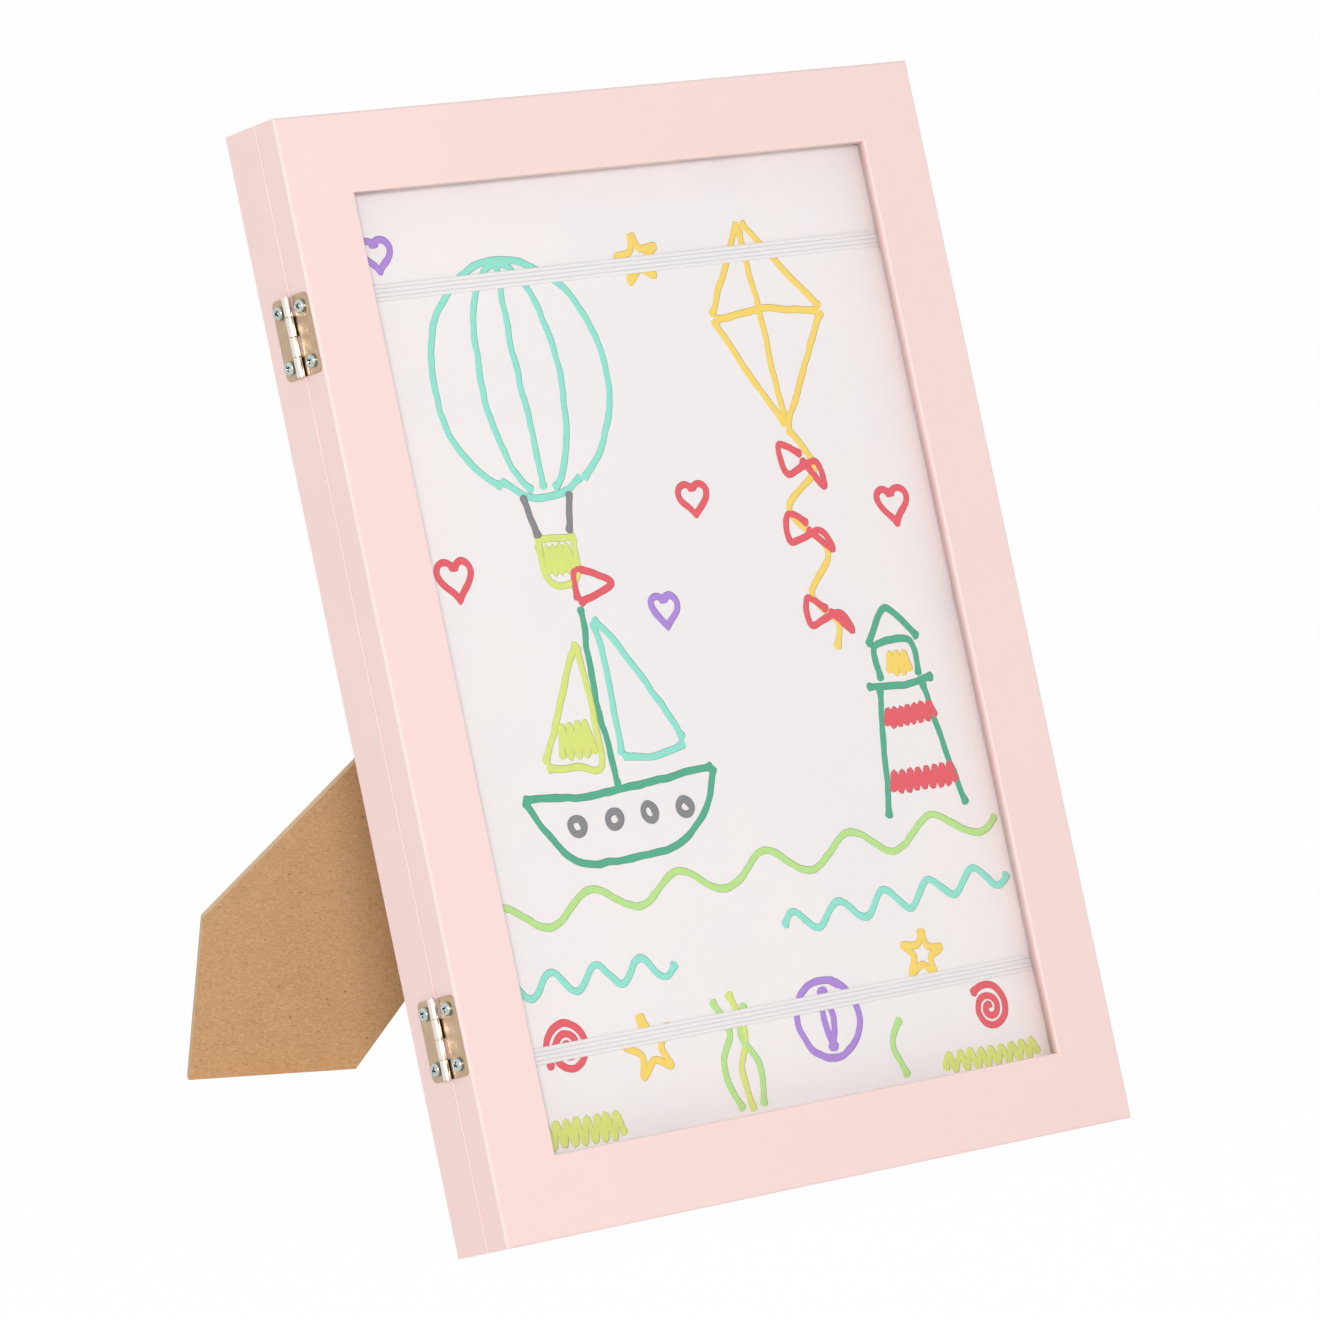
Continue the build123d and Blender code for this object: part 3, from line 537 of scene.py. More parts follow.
def plated_metal(name, colour, dull, roughness, drawn):
    """Plated metal with rolling lines, tarnish and an uneven polish, with a painted highlight on
    the knuckles' outsides and painted shade in slits and recesses, both where the mesh marks them.
    """
    finish = Finish(name, Metallic=1.0)
    place = finish.place_on(FRONT)
    rolled = finish.stretch(place, *drawn)
    lines = finish.mottle(rolled, colour, dull, size=0.3 * MM, amount=0.3)
    clouds = finish.mottle(place, lines["Color"], dull, size=3.5 * MM, amount=0.35)
    relief = finish.relief(rolled, size=0.35 * MM, roughness=roughness, spread=0.18)
    surface = clouds["Color"]
    painted_highlight_colour, painted_shade_colour = toned(colour, 0.5, lift=0.59), toned(dull, 0.16)
    # Painted light: one mark lightens the rolled knuckles as a painted highlight, the other darkens
    # slits and recesses as painted shade.
    for mark, amount, painted_light_colour in (("rubbed", 0.85, painted_highlight_colour), ("recess", 0.8, painted_shade_colour)):
        share = finish.math("MULTIPLY", finish.mark(mark), amount)
        surface = finish.mix(share, surface, painted_light_colour)
    finish.coat(surface, relief, strength=0.2, depth=0.02 * MM)


def clear_pane(name):
    """Clear pane that lamps and soft light pass, so that the sheet behind it is lit."""
    finish = Finish(name, Transmission_Weight=1.0, IOR=1.49, Roughness=0.0, Metallic=0.0)
    place = finish.place_on(FRONT)
    faint_tint = srgb(252, 254, 254)
    tint = finish.mottle(place, WHITE, faint_tint, size=80 * MM, amount=1.0)
    finish.join(tint["Color"], finish.shader.inputs["Base Color"])
    rays = finish.add("ShaderNodeLightPath")
    passed = finish.math("MAXIMUM", rays["Is Shadow Ray"], rays["Is Diffuse Ray"])
    clear = finish.add("ShaderNodeBsdfTransparent")[0]
    values = {0: passed, 1: finish.shader.outputs[0], 2: clear}
    mixed = finish.add("ShaderNodeMixShader", values)[0]
    finish.join(mixed, finish.tree.nodes["Material Output"].inputs["Surface"])


def make_materials():
    """Every material that the part uses, but for the inks."""
    mottle_group()
    speck_group()
    relief_group()
    painted_wood("paint_upright", along=1)
    painted_wood("paint_across", along=0)
    fibreboard("fibreboard_back", FRONT, fibre_turn=radians(90))
    fibreboard("fibreboard_leg", LEG, fibre_turn=radians(-22))
    drawing_paper("sketch_paper")
    drawing_paper("stored_paper", tinted=True)
    elastic_tape("elastic_tape")
    clear_pane("clear_glazing")
    metal = settings("metal")
    magnet = srgb(120, 120, 124)
    even, upright = (1, 1, 1), (1, 0.06, 1)
    for name, colour, dull, roughness, drawn in (
        ("rolled_nickel", metal.nickel, srgb(174, 150, 116), 0.34, upright),
        ("zinc_plate", metal.zinc, srgb(150, 168, 168), 0.24, even),
        ("steel_wire", metal.steel, srgb(128, 126, 124), 0.38, even),
        ("stamped_brass", metal.brass, srgb(176, 142, 84), 0.34, upright),
        ("magnet_face", magnet, srgb(78, 78, 82), 0.45, even),
    ):
        plated_metal(name, colour, dull, roughness, drawn)


def link_object(name, data):
    """New object at the origin."""
    made = bpy.data.objects.new(name, data)
    bpy.context.scene.collection.objects.link(made)
    return made


def from_bmesh(name, shape, axes=None):
    """Object from a bmesh in a piece's own axes."""
    if axes is not None:
        shape.transform(axes)
    mesh = bpy.data.meshes.new(name)
    shape.to_mesh(mesh)
    shape.free()
    return link_object(name, mesh)


def make_plain(made):
    """The object with its modifiers' result as its own mesh."""
    bpy.context.view_layer.update()
    graph = bpy.context.evaluated_depsgraph_get()
    mesh = bpy.data.meshes.new_from_object(made.evaluated_get(graph), depsgraph=graph)
    for index in reversed(range(len(mesh.materials))):
        if mesh.materials[index] is None:
            mesh.materials.pop(index=index)
    old = made.data
    made.modifiers.clear()
    if made.type == "MESH":
        made.data = mesh
        return made
    name = made.name
    bpy.data.objects.remove(made)
    bpy.data.curves.remove(old)
    return link_object(name, mesh)


def grow(made, group, material, **values):
    """Plain mesh of what a Geometry Nodes group makes of an object. Inputs go by name."""
    modifier = made.modifiers.new("grown", "NODES")
    modifier.node_group = bpy.data.node_groups[group]
    sockets = {
        item.name: item.identifier
        for item in modifier.node_group.interface.items_tree
        if item.item_type == "SOCKET" and item.in_out == "INPUT"
    }
    for name, value in {**values, "Material": bpy.data.materials[material]}.items():
        modifier[sockets[name]] = value
    return make_plain(made)


def shade(made, angle=32):
    """Smooth shading, broken at edges sharper than the angle."""
    made.data.shade_smooth()
    made.data.set_sharp_from_angle(angle=radians(angle))
    return made


def finish_piece(made, body, slot, material, *replaced):
    """Material, body and the CAD nodes that the piece stands for. Its slot is not used."""
    if material:
        made.data.materials.clear()
        made.data.materials.append(bpy.data.materials[material])
    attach(made, body)
    if replaced:
        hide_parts(*replaced)
    return made


def ease_edges(made, width, segments, angle):
    """Rounds every edge sharper than the angle."""
    bevel = made.modifiers.new("eased", "BEVEL")
    bevel.width = width
    bevel.segments = segments
    bevel.limit_method = "ANGLE"
    bevel.angle_limit = radians(angle)
    bevel.harden_normals = False
    return make_plain(made)


def eased_copy(node, width, softness=None):
    """Copy of a CAD node's mesh, its triangles merged and its edges eased.

    softness gives the share of the width that an edge gets.
    """
    shape = bmesh.new()
    shape.from_mesh(nodes[node].data)
    same_place, flat_angle = 0.002 * MM, radians(0.4)
    bmesh.ops.remove_doubles(shape, verts=shape.verts, dist=same_place)
    bmesh.ops.dissolve_limit(
        shape, angle_limit=flat_angle, verts=shape.verts, edges=shape.edges,
        use_dissolve_boundaries=False,
    )
    weights = shape.edges.layers.float.new("bevel_weight_edge")
    for edge in shape.edges:
        if edge.is_manifold and edge.calc_face_angle(0) > SHARP_ANGLE:
            edge[weights] = softness(edge) if softness else 1.0
    made = from_bmesh("finished_" + node, shape)
    bevel = made.modifiers.new("eased", "BEVEL")
    bevel.width = width
    bevel.segments = 3
    bevel.limit_method = "WEIGHT"
    made = shade(make_plain(made))
    flat = made.modifiers.new("flat_faces", "WEIGHTED_NORMAL")
    flat.keep_sharp = True
    return make_plain(made)


def lies_on(edge, test):
    """Whether both ends of an edge pass a test in the frame's own axes."""
    inverse = FRONT.inverted()
    return all(test(inverse @ vertex.co) for vertex in edge.verts)


def inward(place):
    """How far a place lies inside the frame's sides and inside its top and bottom."""
    return FRAME_HALF_WIDTH - abs(place.x), FRAME_HALF_HEIGHT - abs(place.y)


def in_mitre(place):
    """Whether a place lies in the mitre plane of a frame corner."""
    from_side, from_end = inward(place)
    return abs(from_side - from_end) < TOUCH


def on_rear_arris(place):
    """Whether a place lies on the box's outer rear arris."""
    return min(inward(place)) < TOUCH and place.z < TOUCH - FRAME_DEPTH


def member_softness(edge):
    """Share of the rear arris's width: none in a mitre, little at the other edges."""
    if lies_on(edge, in_mitre):
        return 0.0
    paint = settings("paint")
    return 1.0 if lies_on(edge, on_rear_arris) else paint.soft_edge / paint.rear_arris


def on_circle(centre, radius, turn, squash=1.0):
    """Point of a circle, or of one squashed in height, at an angle in radians."""
    return centre[0] + radius * cos(turn), centre[1] + squash * radius * sin(turn)


def turned_shape(profile, segments):
    """Solid of revolution about Z from (radius, height) points, from the axis out and back."""
    shape = bmesh.new()
    rings = []
    for radius, height in profile:
        turns = [tau * i / segments for i in range(segments)] if radius else [0.0]
        places = [(*on_circle((0, 0), radius, turn), height) for turn in turns]
        rings.append([shape.verts.new(place) for place in places])
    for first, second in zip(rings, rings[1:]):
        for i in range(segments):
            j = (i + 1) % segments
            if len(first) == 1:
                shape.faces.new((first[0], second[i], second[j]))
            elif len(second) == 1:
                shape.faces.new((first[i], second[0], first[j]))
            else:
                shape.faces.new((first[i], second[i], second[j], first[j]))
    bmesh.ops.recalc_face_normals(shape, faces=shape.faces)
    return shape


def dome_profile(radius, height, rim, steps=7):
    """Profile of a low dome over a short straight rim."""
    turns = [pi / 2 * i / steps for i in range(1, steps + 1)]
    return [(0, height)] + [(radius * sin(t), rim + (height - rim) * cos(t)) for t in turns]


def cut_cross(made, width, length, depth, top):
    """Cuts a tapering cross recess into the head of a screw."""
    above, taper = 0.1 * MM, 0.55
    shape = bmesh.new()
    for across, along in ((width, length), (length, width)):
        corners = [
            shape.verts.new((x * across / 2 * share, y * along / 2 * share, z))
            for z, share in ((top + above, 1.0), (top - depth, taper))
            for x, y in ((-1, -1), (1, -1), (1, 1), (-1, 1))
        ]
        sides = [(i, (i + 1) % 4, (i + 1) % 4 + 4, i + 4) for i in range(4)]
        for face in ((3, 2, 1, 0), (4, 5, 6, 7), *sides):
            shape.faces.new([corners[i] for i in face])
    bmesh.ops.recalc_face_normals(shape, faces=shape.faces)
    tool = from_bmesh("cross_tool", shape)
    cut = made.modifiers.new("cross", "BOOLEAN")
    cut.object = tool
    cut.operation = "DIFFERENCE"
    cut.solver = "EXACT"
    cut.use_self = True
    made = make_plain(made)
    bpy.data.objects.remove(tool)
    return made


def new_geometry_group(name, *inputs):
    """Geometry Nodes group from geometry, its own inputs and a material to geometry."""
    inputs = [("Geometry", GEOMETRY, None), *inputs, ("Material", MATERIAL, None)]
    return new_group(name, "GeometryNodeTree", inputs, [("Geometry", GEOMETRY)])


def finish_tree(make, given, result, geometry):
    """Ends a Geometry Nodes tree with real geometry and its material."""
    real = make.add("GeometryNodeRealizeInstances", Geometry=geometry)[0]
    coated = make.add("GeometryNodeSetMaterial", Geometry=real, Material=given["Material"])[0]
    make.join(coated, result["Geometry"])


def fastener_tree():
    """Places a fastener at each point, along an axis, turned at random about it."""
    make, given, result = new_geometry_group(
        "placed_fasteners",
        ("Fastener", OBJECT, None), ("Axis", VECTOR, (0, 0, 1)),
        ("Turn", FLOAT, tau), ("Seed", INTEGER, 3),
    )
    info = make.add("GeometryNodeObjectInfo", Object=given["Fastener"])
    align = make.add("FunctionNodeAlignRotationToVector", Vector=given["Axis"], axis="Z")[0]
    angle = make.add("FunctionNodeRandomValue", {3: given["Turn"]}, Seed=given["Seed"])[1]
    spin = make.add("FunctionNodeAxisAngleToRotation", Axis=(0, 0, 1), Angle=angle)[0]
    turned = make.add(
        "FunctionNodeRotateRotation", Rotation=align, Rotate_By=spin, rotation_space="LOCAL"
    )[0]
    placed = make.add(
        "GeometryNodeInstanceOnPoints",
        Points=given["Geometry"], Instance=info["Geometry"], Rotation=turned,
    )[0]
    finish_tree(make, given, result, placed)


def place_fasteners(name, template, places, axis, material, seed):
    """One mesh of the same fastener at each place, along an axis in the row frame."""
    points = bmesh.new()
    for place in places:
        points.verts.new(place)
    made = grow(
        from_bmesh(name, points), "placed_fasteners", material,
        Fastener=template, Axis=tuple(axis), Turn=tau, Seed=seed,
    )
    return shade(made)


def rolled_leaf(
    name, axes, length, reach, gauge, barrel, lift, notch, rolls, holes, corner, hole_radius
):
    """Hinge leaf of sheet metal, rolled about its pin where it has knuckles.

    Its own axes run out from the pin, along the pin and up from the wood. rolls holds the
    spans of its knuckles along the pin, and lift is the barrel's height above the wood.
    """
    corner_steps, hole_steps, rise_steps, roll_steps, roll_end = 5, 20, 6, 30, radians(292)
    shape = bmesh.new()
    half = length / 2
    ends = [-half, *(end for span in rolls for end in span), half]
    inner = [(notch, y) for i, y in enumerate(ends) if not i or abs(y - ends[i - 1]) > TOUCH]
    outer = []
    for centre_y, start in ((half - corner, pi / 2), (-half + corner, 0)):
        for i in range(corner_steps + 1):
            turn = start - pi / 2 * i / corner_steps
            outer.append(on_circle((reach - corner, centre_y), corner, turn))
    turns = [tau * i / hole_steps for i in range(hole_steps)]
    rims = [inner + outer] + [[on_circle(hole, hole_radius, t) for t in turns] for hole in holes]
    edges = []
    for rim in rims:
        points = [shape.verts.new((x, y, 0)) for x, y in rim]
        edges += [shape.edges.new((points[i - 1], points[i])) for i in range(len(points))]
    bmesh.ops.triangle_fill(shape, use_beauty=True, use_dissolve=False, edges=edges)
    path = []
    for i in range(rise_steps + 1):
        share = i / rise_steps
        path.append((notch * (1 - share), lift * share * share * (3 - 2 * share)))
    for i in range(1, roll_steps + 1):
        turn = roll_end * i / roll_steps
        path.append((-barrel * sin(turn), lift + barrel - barrel * cos(turn)))
    for span in rolls:
        strip = [[shape.verts.new((x, y, z)) for x, z in path] for y in span]
        for i in range(len(path) - 1):
            shape.faces.new((strip[0][i], strip[0][i + 1], strip[1][i + 1], strip[1][i]))
    bmesh.ops.remove_doubles(shape, verts=shape.verts, dist=TOUCH)
    bmesh.ops.recalc_face_normals(shape, faces=shape.faces)
    flat = max(shape.faces, key=lambda face: face.calc_center_median().x)
    if flat.normal.z > 0:
        bmesh.ops.reverse_faces(shape, faces=shape.faces)
    made = from_bmesh(name, shape, axes)
    wall = made.modifiers.new("gauge", "SOLIDIFY")
    wall.thickness = gauge
    wall.offset = -1
    wall.use_even_offset = True
    made = ease_edges(make_plain(made), settings("metal").soft_edge, segments=2, angle=50)
    mark_leaf(made, axes.inverted(), barrel, lift, notch)
    return shade(made)


def mark_leaf(made, to_own, barrel, lift, notch):
    """Marks painted shade in the slit beside the knuckles and a painted highlight on their rolled
    outsides, for the material.
    """
    slit_start, slit_end, slit_foot, slit_top, skin = 0.25, 0.95, 0.15, 0.72, 1.02
    painted_shade_marks = made.data.attributes.new("recess", "FLOAT", "POINT")
    rubbed = made.data.attributes.new("rubbed", "FLOAT", "POINT")
    for vertex in made.data.vertices:
        x, _, z = to_own @ vertex.co
        beside = slit_start * barrel < x < slit_end * notch
        slit = beside and slit_foot * barrel < z < lift + slit_top * barrel
        rolled = Vector((x, z - lift - barrel)).length < skin * barrel
        # Painted shade in the slit, painted highlight on the rolled knuckle.
        painted_shade_marks.data[vertex.index].value = 1.0 if slit else 0.0
        rubbed.data[vertex.index].value = 1.0 if rolled and not slit else 0.0


def arc(centre, radius, start, end, steps=16, squash=1.0):
    """Points on an arc, angles in degrees."""
    turns = [radians(start + (end - start) * i / steps) for i in range(steps + 1)]
    return [on_circle(centre, radius, turn, squash) for turn in turns]


def wave_line(start, end, rise, swells, steps_per_swell=8):
    """Points on a wavy line between two places."""
    first, last = Vector(start), Vector(end)
    side = Vector((-(last - first).y, (last - first).x)).normalized()
    count = swells * steps_per_swell
    return [
        tuple(first.lerp(last, i / count) + side * rise * sin(tau * i / steps_per_swell))
        for i in range(count + 1)
    ]


def star(centre, radius, turn=0.0):
    """Closed star drawn in one go."""
    waist, step = 0.42, 36
    reaches = [radius if i % 2 == 0 else waist * radius for i in range(11)]
    return [on_circle(centre, r, radians(90 + turn + step * i)) for i, r in enumerate(reaches)]


def heart(centre, size, steps=24):
    """Closed heart drawn in one go, on the usual heart curve, which is 32 wide."""
    points = []
    for i in range(steps + 1):
        t = tau * i / steps
        x = 16 * sin(t) ** 3
        y = 13 * cos(t) - 5 * cos(2 * t) - 2 * cos(3 * t) - cos(4 * t)
        points.append((centre[0] + size * x / 32, centre[1] + size * y / 32))
    return points


def scribble(left, right, low, high, turns):
    """Zigzag that fills a patch."""
    count = 2 * turns
    return [
        (left + (right - left) * i / count, high if i % 2 else low) for i in range(count + 1)
    ]


def spiral(centre, radius, turns, steps=40):
    """Spiral from its middle out."""
    shares = [i / steps for i in range(steps + 1)]
    return [on_circle(centre, radius * share, tau * turns * share) for share in shares]


INK_COLOURS = {
    "mint": srgb(134, 228, 206),
    "yellow": srgb(255, 214, 78),
    "green": srgb(38, 168, 128),
    "lime": srgb(220, 230, 106),
    "grass": srgb(182, 228, 128),
    "red": srgb(234, 62, 78),
    "grey": srgb(124, 122, 126),
    "violet": srgb(170, 124, 218),
}


def drawn_strokes():
    """Strokes of a plain seaside drawing, by ink, in millimetres from the sheet's middle."""
    strokes = {ink: [] for ink in INK_COLOURS}
    # Balloon with its basket
    balloon = (-46, 86)
    strokes["mint"] += [
        arc(balloon, 33, -62, 242, 40, 1.1), arc(balloon, 15, -75, 255, 30, 2.35),
        [(-46, 122), (-47, 100), (-46, 70), (-46, 52)],
        [(-31, 55), (-38, 51), (-46, 50), (-54, 51), (-62, 56)],
    ]
    strokes["grey"] += [[(-55, 51), (-52, 38)], [(-37, 51), (-40, 38)]]
    strokes["lime"] += [
        [(-54, 38), (-38, 37)], [(-53, 37), (-51, 25), (-41, 25), (-39, 37)],
        scribble(-51, -41, 27, 35, 4),
    ]
    # Kite with its tail
    strokes["yellow"] += [
        [(50, 126), (32, 98)], [(32, 97), (52, 62)], [(52, 61), (76, 96)], [(76, 97), (51, 126)],
        [(50, 124), (51, 94), (52, 64)], [(33, 97), (54, 98), (75, 96)],
        [(52, 61), (60, 48), (46, 36), (58, 22), (48, 10), (56, 0), (53, -8)],
    ]
    strokes["red"] += [
        [(56, 52), (48, 56), (49, 47), (60, 50), (62, 42), (55, 51)],
        [(52, 31), (45, 35), (44, 26), (56, 29), (60, 22), (51, 30)],
        [(53, 4), (46, 9), (46, 0), (57, 3), (61, -3), (53, 4)],
    ]
    # Sailing boat
    strokes["green"] += [
        [(-78, -38), (-66, -56), (-50, -60), (-26, -59), (-12, -52), (-4, -37)],
        [(-78, -38), (-50, -40), (-4, -37)], [(-42, -39), (-43, -10), (-42, 16)],
    ]
    strokes["mint"] += [
        [(-38, 12), (-26, -4), (-13, -28)], [(-13, -29), (-25, -31), (-38, -30)],
        [(-38, -30), (-37, -10), (-38, 11)],
    ]
    strokes["lime"] += [
        [(-46, 6), (-56, -10), (-67, -29)], [(-67, -30), (-56, -31), (-46, -30), (-46, 5)],
        scribble(-60, -48, -28, -18, 4),
    ]
    strokes["red"] += [[(-42, 17), (-28, 22), (-41, 27), (-42, 18)]]
    strokes["grey"] += [arc((x, -48), 2.4, 0, 400, 12) for x in (-60, -46, -32, -18)]
    # Waves with their foam
    strokes["grass"] += [wave_line((-103, -73), (103, -66), 4.2, 6)]
    strokes["mint"] += [
        wave_line((-103, -92), (-34, -93), 3.4, 4), wave_line((10, -88), (103, -84), 3.4, 5),
    ]
    # Lighthouse
    strokes["green"] += [
        [(60, -62), (65, -36), (67, -22)], [(92, -62), (87, -38), (85, -22)],
        [(62, -21), (76, -22), (90, -21)], [(68, -20), (69, -9), (83, -9), (84, -20)],
        [(66, -9), (76, 2), (87, -9)],
    ]
    strokes["red"] += [scribble(67, 87, -34, -29, 7), scribble(64, 90, -54, -48, 8)]
    strokes["yellow"] += [scribble(72, 81, -18, -12, 3)]
    # Beach with shells, stars, a striped ball and weed, and a star in the air
    strokes["red"] += [spiral((-80, -112), 8.5, 2.6), spiral((84, -124), 7.5, 2.4)]
    strokes["yellow"] += [star((-50, -116), 10, 8), star((62, -104), 8, -10), star((8, 118), 8, 5)]
    strokes["violet"] += [
        arc((20, -118), 12, 60, 425, 28),
        arc((6, -118), 16, -38, 38, 12), arc((34, -118), 16, 142, 218, 12),
    ]
    strokes["grass"] += [
        [(-20, -140), (-24, -126), (-19, -116), (-23, -106)],
        [(-12, -140), (-10, -128), (-15, -118), (-11, -108)], [(46, -140), (43, -130), (48, -122)],
    ]
    strokes["lime"] += [
        [(-16, -141), (-17, -128), (-13, -118), (-17, -104)],
        scribble(-100, -66, -140, -133, 9), scribble(62, 100, -141, -136, 9),
    ]
    # Hearts in the air
    strokes["red"] += [heart((-86, 30), 13), heart((10, 44), 11), heart((88, 34), 12)]
    strokes["violet"] += [heart((-10, 12), 10), heart((-90, 128), 11)]
    return strokes


def stroke_tree():
    """Turns lines into felt-tip strokes: smooth, unsteady, flat and round at their ends."""
    make, given, result = new_geometry_group(
        "felt_tip_strokes",
        ("Width", FLOAT, 2.3 * MM), ("Height", FLOAT, 0.05 * MM), ("Step", FLOAT, 0.45 * MM),
        ("Wobble", FLOAT, 0.7 * MM), ("Seed", INTEGER, 5),
    )
    wobble_scale, wobble_reach, seed_shift = 70.0, 4.0, 3.7
    press_scale, press_least, press_change = 160.0, 0.8, 0.4
    pool_start, pool_end, pool_width, end_fullness = 0.4, 1.4, 1.28, 1.02
    smooth = make.add(
        "GeometryNodeCurveSplineType", Curve=given["Geometry"], spline_type="CATMULL_ROM"
    )[0]
    even = make.add(
        "GeometryNodeResampleCurve", Curve=smooth, Length=given["Step"], mode="LENGTH"
    )[0]
    place = make.add("GeometryNodeInputPosition")[0]
    seeded = make.vector(z=make.math("MULTIPLY", given["Seed"], seed_shift))
    at = make.vectors("ADD", make.vectors("SCALE", place, Scale=wobble_scale), seeded)
    centred = make.vectors("SUBTRACT", make.noise(at, 1.0, detail=2.0)["Color"], (0.5, 0.5, 0.5))
    wobble = make.math("MULTIPLY", given["Wobble"], wobble_reach)
    level = make.vectors("MULTIPLY", make.vectors("SCALE", centred, Scale=wobble), (1, 1, 0))
    moved = make.add("GeometryNodeSetPosition", Geometry=even, Offset=level)[0]
    along = make.add("GeometryNodeSplineParameter")["Length"]
    whole = make.add("GeometryNodeSplineLength")["Length"]
    near = make.math("MINIMUM", along, make.math("SUBTRACT", whole, along))
    half = make.math("MULTIPLY", given["Width"], 0.5)
    share = make.math("MINIMUM", make.math("DIVIDE", near, half), 1.0)
    short = make.math("SUBTRACT", 1.0, share)
    full = make.math("SUBTRACT", end_fullness, make.math("MULTIPLY", short, short))
    uneven = make.noise(place, press_scale, detail=1.0)["Fac"]
    press = make.math("ADD", press_least, make.math("MULTIPLY", uneven, press_change))
    pooled = make.ramp(
        make.math("DIVIDE", near, given["Width"]), pool_start, pool_end, pool_width, 1.0,
        interpolation_type="SMOOTHSTEP",
    )
    reach = make.math("MULTIPLY", make.math("SQRT", full), press)
    reach = make.math("MULTIPLY", reach, pooled)
    profile = make.add("GeometryNodeCurvePrimitiveCircle", Resolution=8, Radius=half)[0]
    swept = make.add(
        "GeometryNodeCurveToMesh", Curve=moved, Profile_Curve=profile, Scale=reach, Fill_Caps=True
    )[0]
    squashed = make.vector(1.0, 1.0, make.math("DIVIDE", given["Height"], given["Width"]))
    flat = make.vectors("MULTIPLY", place, squashed)
    laid = make.add("GeometryNodeSetPosition", Geometry=swept, Position=flat)[0]
    finish_tree(make, given, result, laid)


def stack_tree():
    """Stored sheets, each a little out of line with the last."""
    make, given, result = new_geometry_group(
        "sheet_stack",
        ("Count", INTEGER, 30), ("Width", FLOAT, 2 * SHEET_HALF_WIDTH),
        ("Height", FLOAT, 2 * SHEET_HALF_HEIGHT), ("Thickness", FLOAT, 0.2 * MM),
        ("Pitch", FLOAT, 0.3 * MM), ("Slip", FLOAT, 0.5 * MM), ("Seed", INTEGER, 11),
    )
    step = make.vector(z=make.math("MULTIPLY", given["Pitch"], -1.0))
    line = make.add("GeometryNodeMeshLine", Count=given["Count"], Offset=step)[0]
    size = make.vector(given["Width"], given["Height"], given["Thickness"])
    leaf = make.add("GeometryNodeMeshCube", Size=size)["Mesh"]
    slip = make.vector(given["Slip"], given["Slip"])
    values = {0: make.vectors("SCALE", slip, Scale=-1.0), 1: slip, "Seed": given["Seed"]}
    shift = make.add("FunctionNodeRandomValue", values, data_type="FLOAT_VECTOR")[0]
    moved = make.add("GeometryNodeSetPosition", Geometry=line, Offset=shift)[0]
    placed = make.add("GeometryNodeInstanceOnPoints", Points=moved, Instance=leaf)[0]
    tone = make.add("FunctionNodeRandomValue", Seed=make.math("ADD", given["Seed"], 1.0))[1]
    marked = marked_with(make, placed, "sheet_tone", tone, domain="INSTANCE")
    finish_tree(make, given, result, marked)


def marked_with(make, geometry, name, value, domain="POINT"):
    """Geometry with a value stored on it for its material."""
    values = {"Geometry": geometry, "Name": name, "Value": value}
    kind = "GeometryNodeStoreNamedAttribute"
    return make.add(kind, values, data_type="FLOAT", domain=domain)[0]


def tape_tree():
    """Tape with round ribs along it, and its base and rib flanks marked for painted shade in the
    material.
    """
    make, given, result = new_geometry_group(
        "ribbed_tape",
        ("Length", FLOAT, 0.2), ("Width", FLOAT, 5.2 * MM), ("Thickness", FLOAT, 0.8 * MM),
        ("Ribs", INTEGER, 4),
    )
    base_share, margin_share, rib_share, groove_power = 0.62, 0.3, 0.46, 6.0
    half_length = make.math("MULTIPLY", given["Length"], 0.5)
    half_thickness = make.math("MULTIPLY", given["Thickness"], 0.5)
    pitch = make.math("DIVIDE", given["Width"], given["Ribs"])
    margin = make.math("MULTIPLY", pitch, margin_share)
    height = make.math("MULTIPLY", given["Thickness"], base_share)
    size = make.vector(given["Length"], make.math("SUBTRACT", given["Width"], margin), height)
    base = make.add("GeometryNodeMeshCube", Size=size)["Mesh"]
    lift = make.vector(z=make.math("MULTIPLY", height, 0.5))
    raised = make.add("GeometryNodeTransform", Geometry=base, Translation=lift)[0]
    # Painted shade over the whole base between the ribs.
    marked_base = marked_with(make, raised, "groove", 1.0)
    start = make.vector(make.math("MULTIPLY", half_length, -1.0))
    end = make.vector(half_length)
    line = make.add("GeometryNodeCurvePrimitiveLine", Start=start, End=end)[0]
    radius = make.math("MULTIPLY", pitch, rib_share)
    ring = make.add("GeometryNodeCurvePrimitiveCircle", Resolution=20, Radius=radius)[0]
    rod = make.add("GeometryNodeCurveToMesh", Curve=line, Profile_Curve=ring, Fill_Caps=True)[0]
    flatness = make.vector(1.0, 1.0, make.math("DIVIDE", half_thickness, radius))
    flat_rod = make.add("GeometryNodeTransform", Geometry=rod, Scale=flatness)[0]
    place = make.add("GeometryNodeInputPosition")[0]
    sideways = make.add("ShaderNodeSeparateXYZ", Vector=place)["Y"]
    beside = make.math("DIVIDE", make.math("ABSOLUTE", sideways), radius)
    # Painted shade that grows towards each rib's flanks.
    marked_rod = marked_with(make, flat_rod, "groove", make.math("POWER", beside, groove_power))
    row_width = make.math("MULTIPLY", pitch, make.math("SUBTRACT", given["Ribs"], 1.0))
    first = make.vector(y=make.math("MULTIPLY", row_width, -0.5), z=half_thickness)
    row = make.add(
        "GeometryNodeMeshLine",
        Count=given["Ribs"], Start_Location=first, Offset=make.vector(y=pitch),
    )[0]
    ribs = make.add("GeometryNodeInstanceOnPoints", Points=row, Instance=marked_rod)[0]
    whole = make.add("GeometryNodeJoinGeometry", Geometry=marked_base)[0]
    make.join(ribs, whole.node.inputs["Geometry"])
    finish_tree(make, given, result, whole)


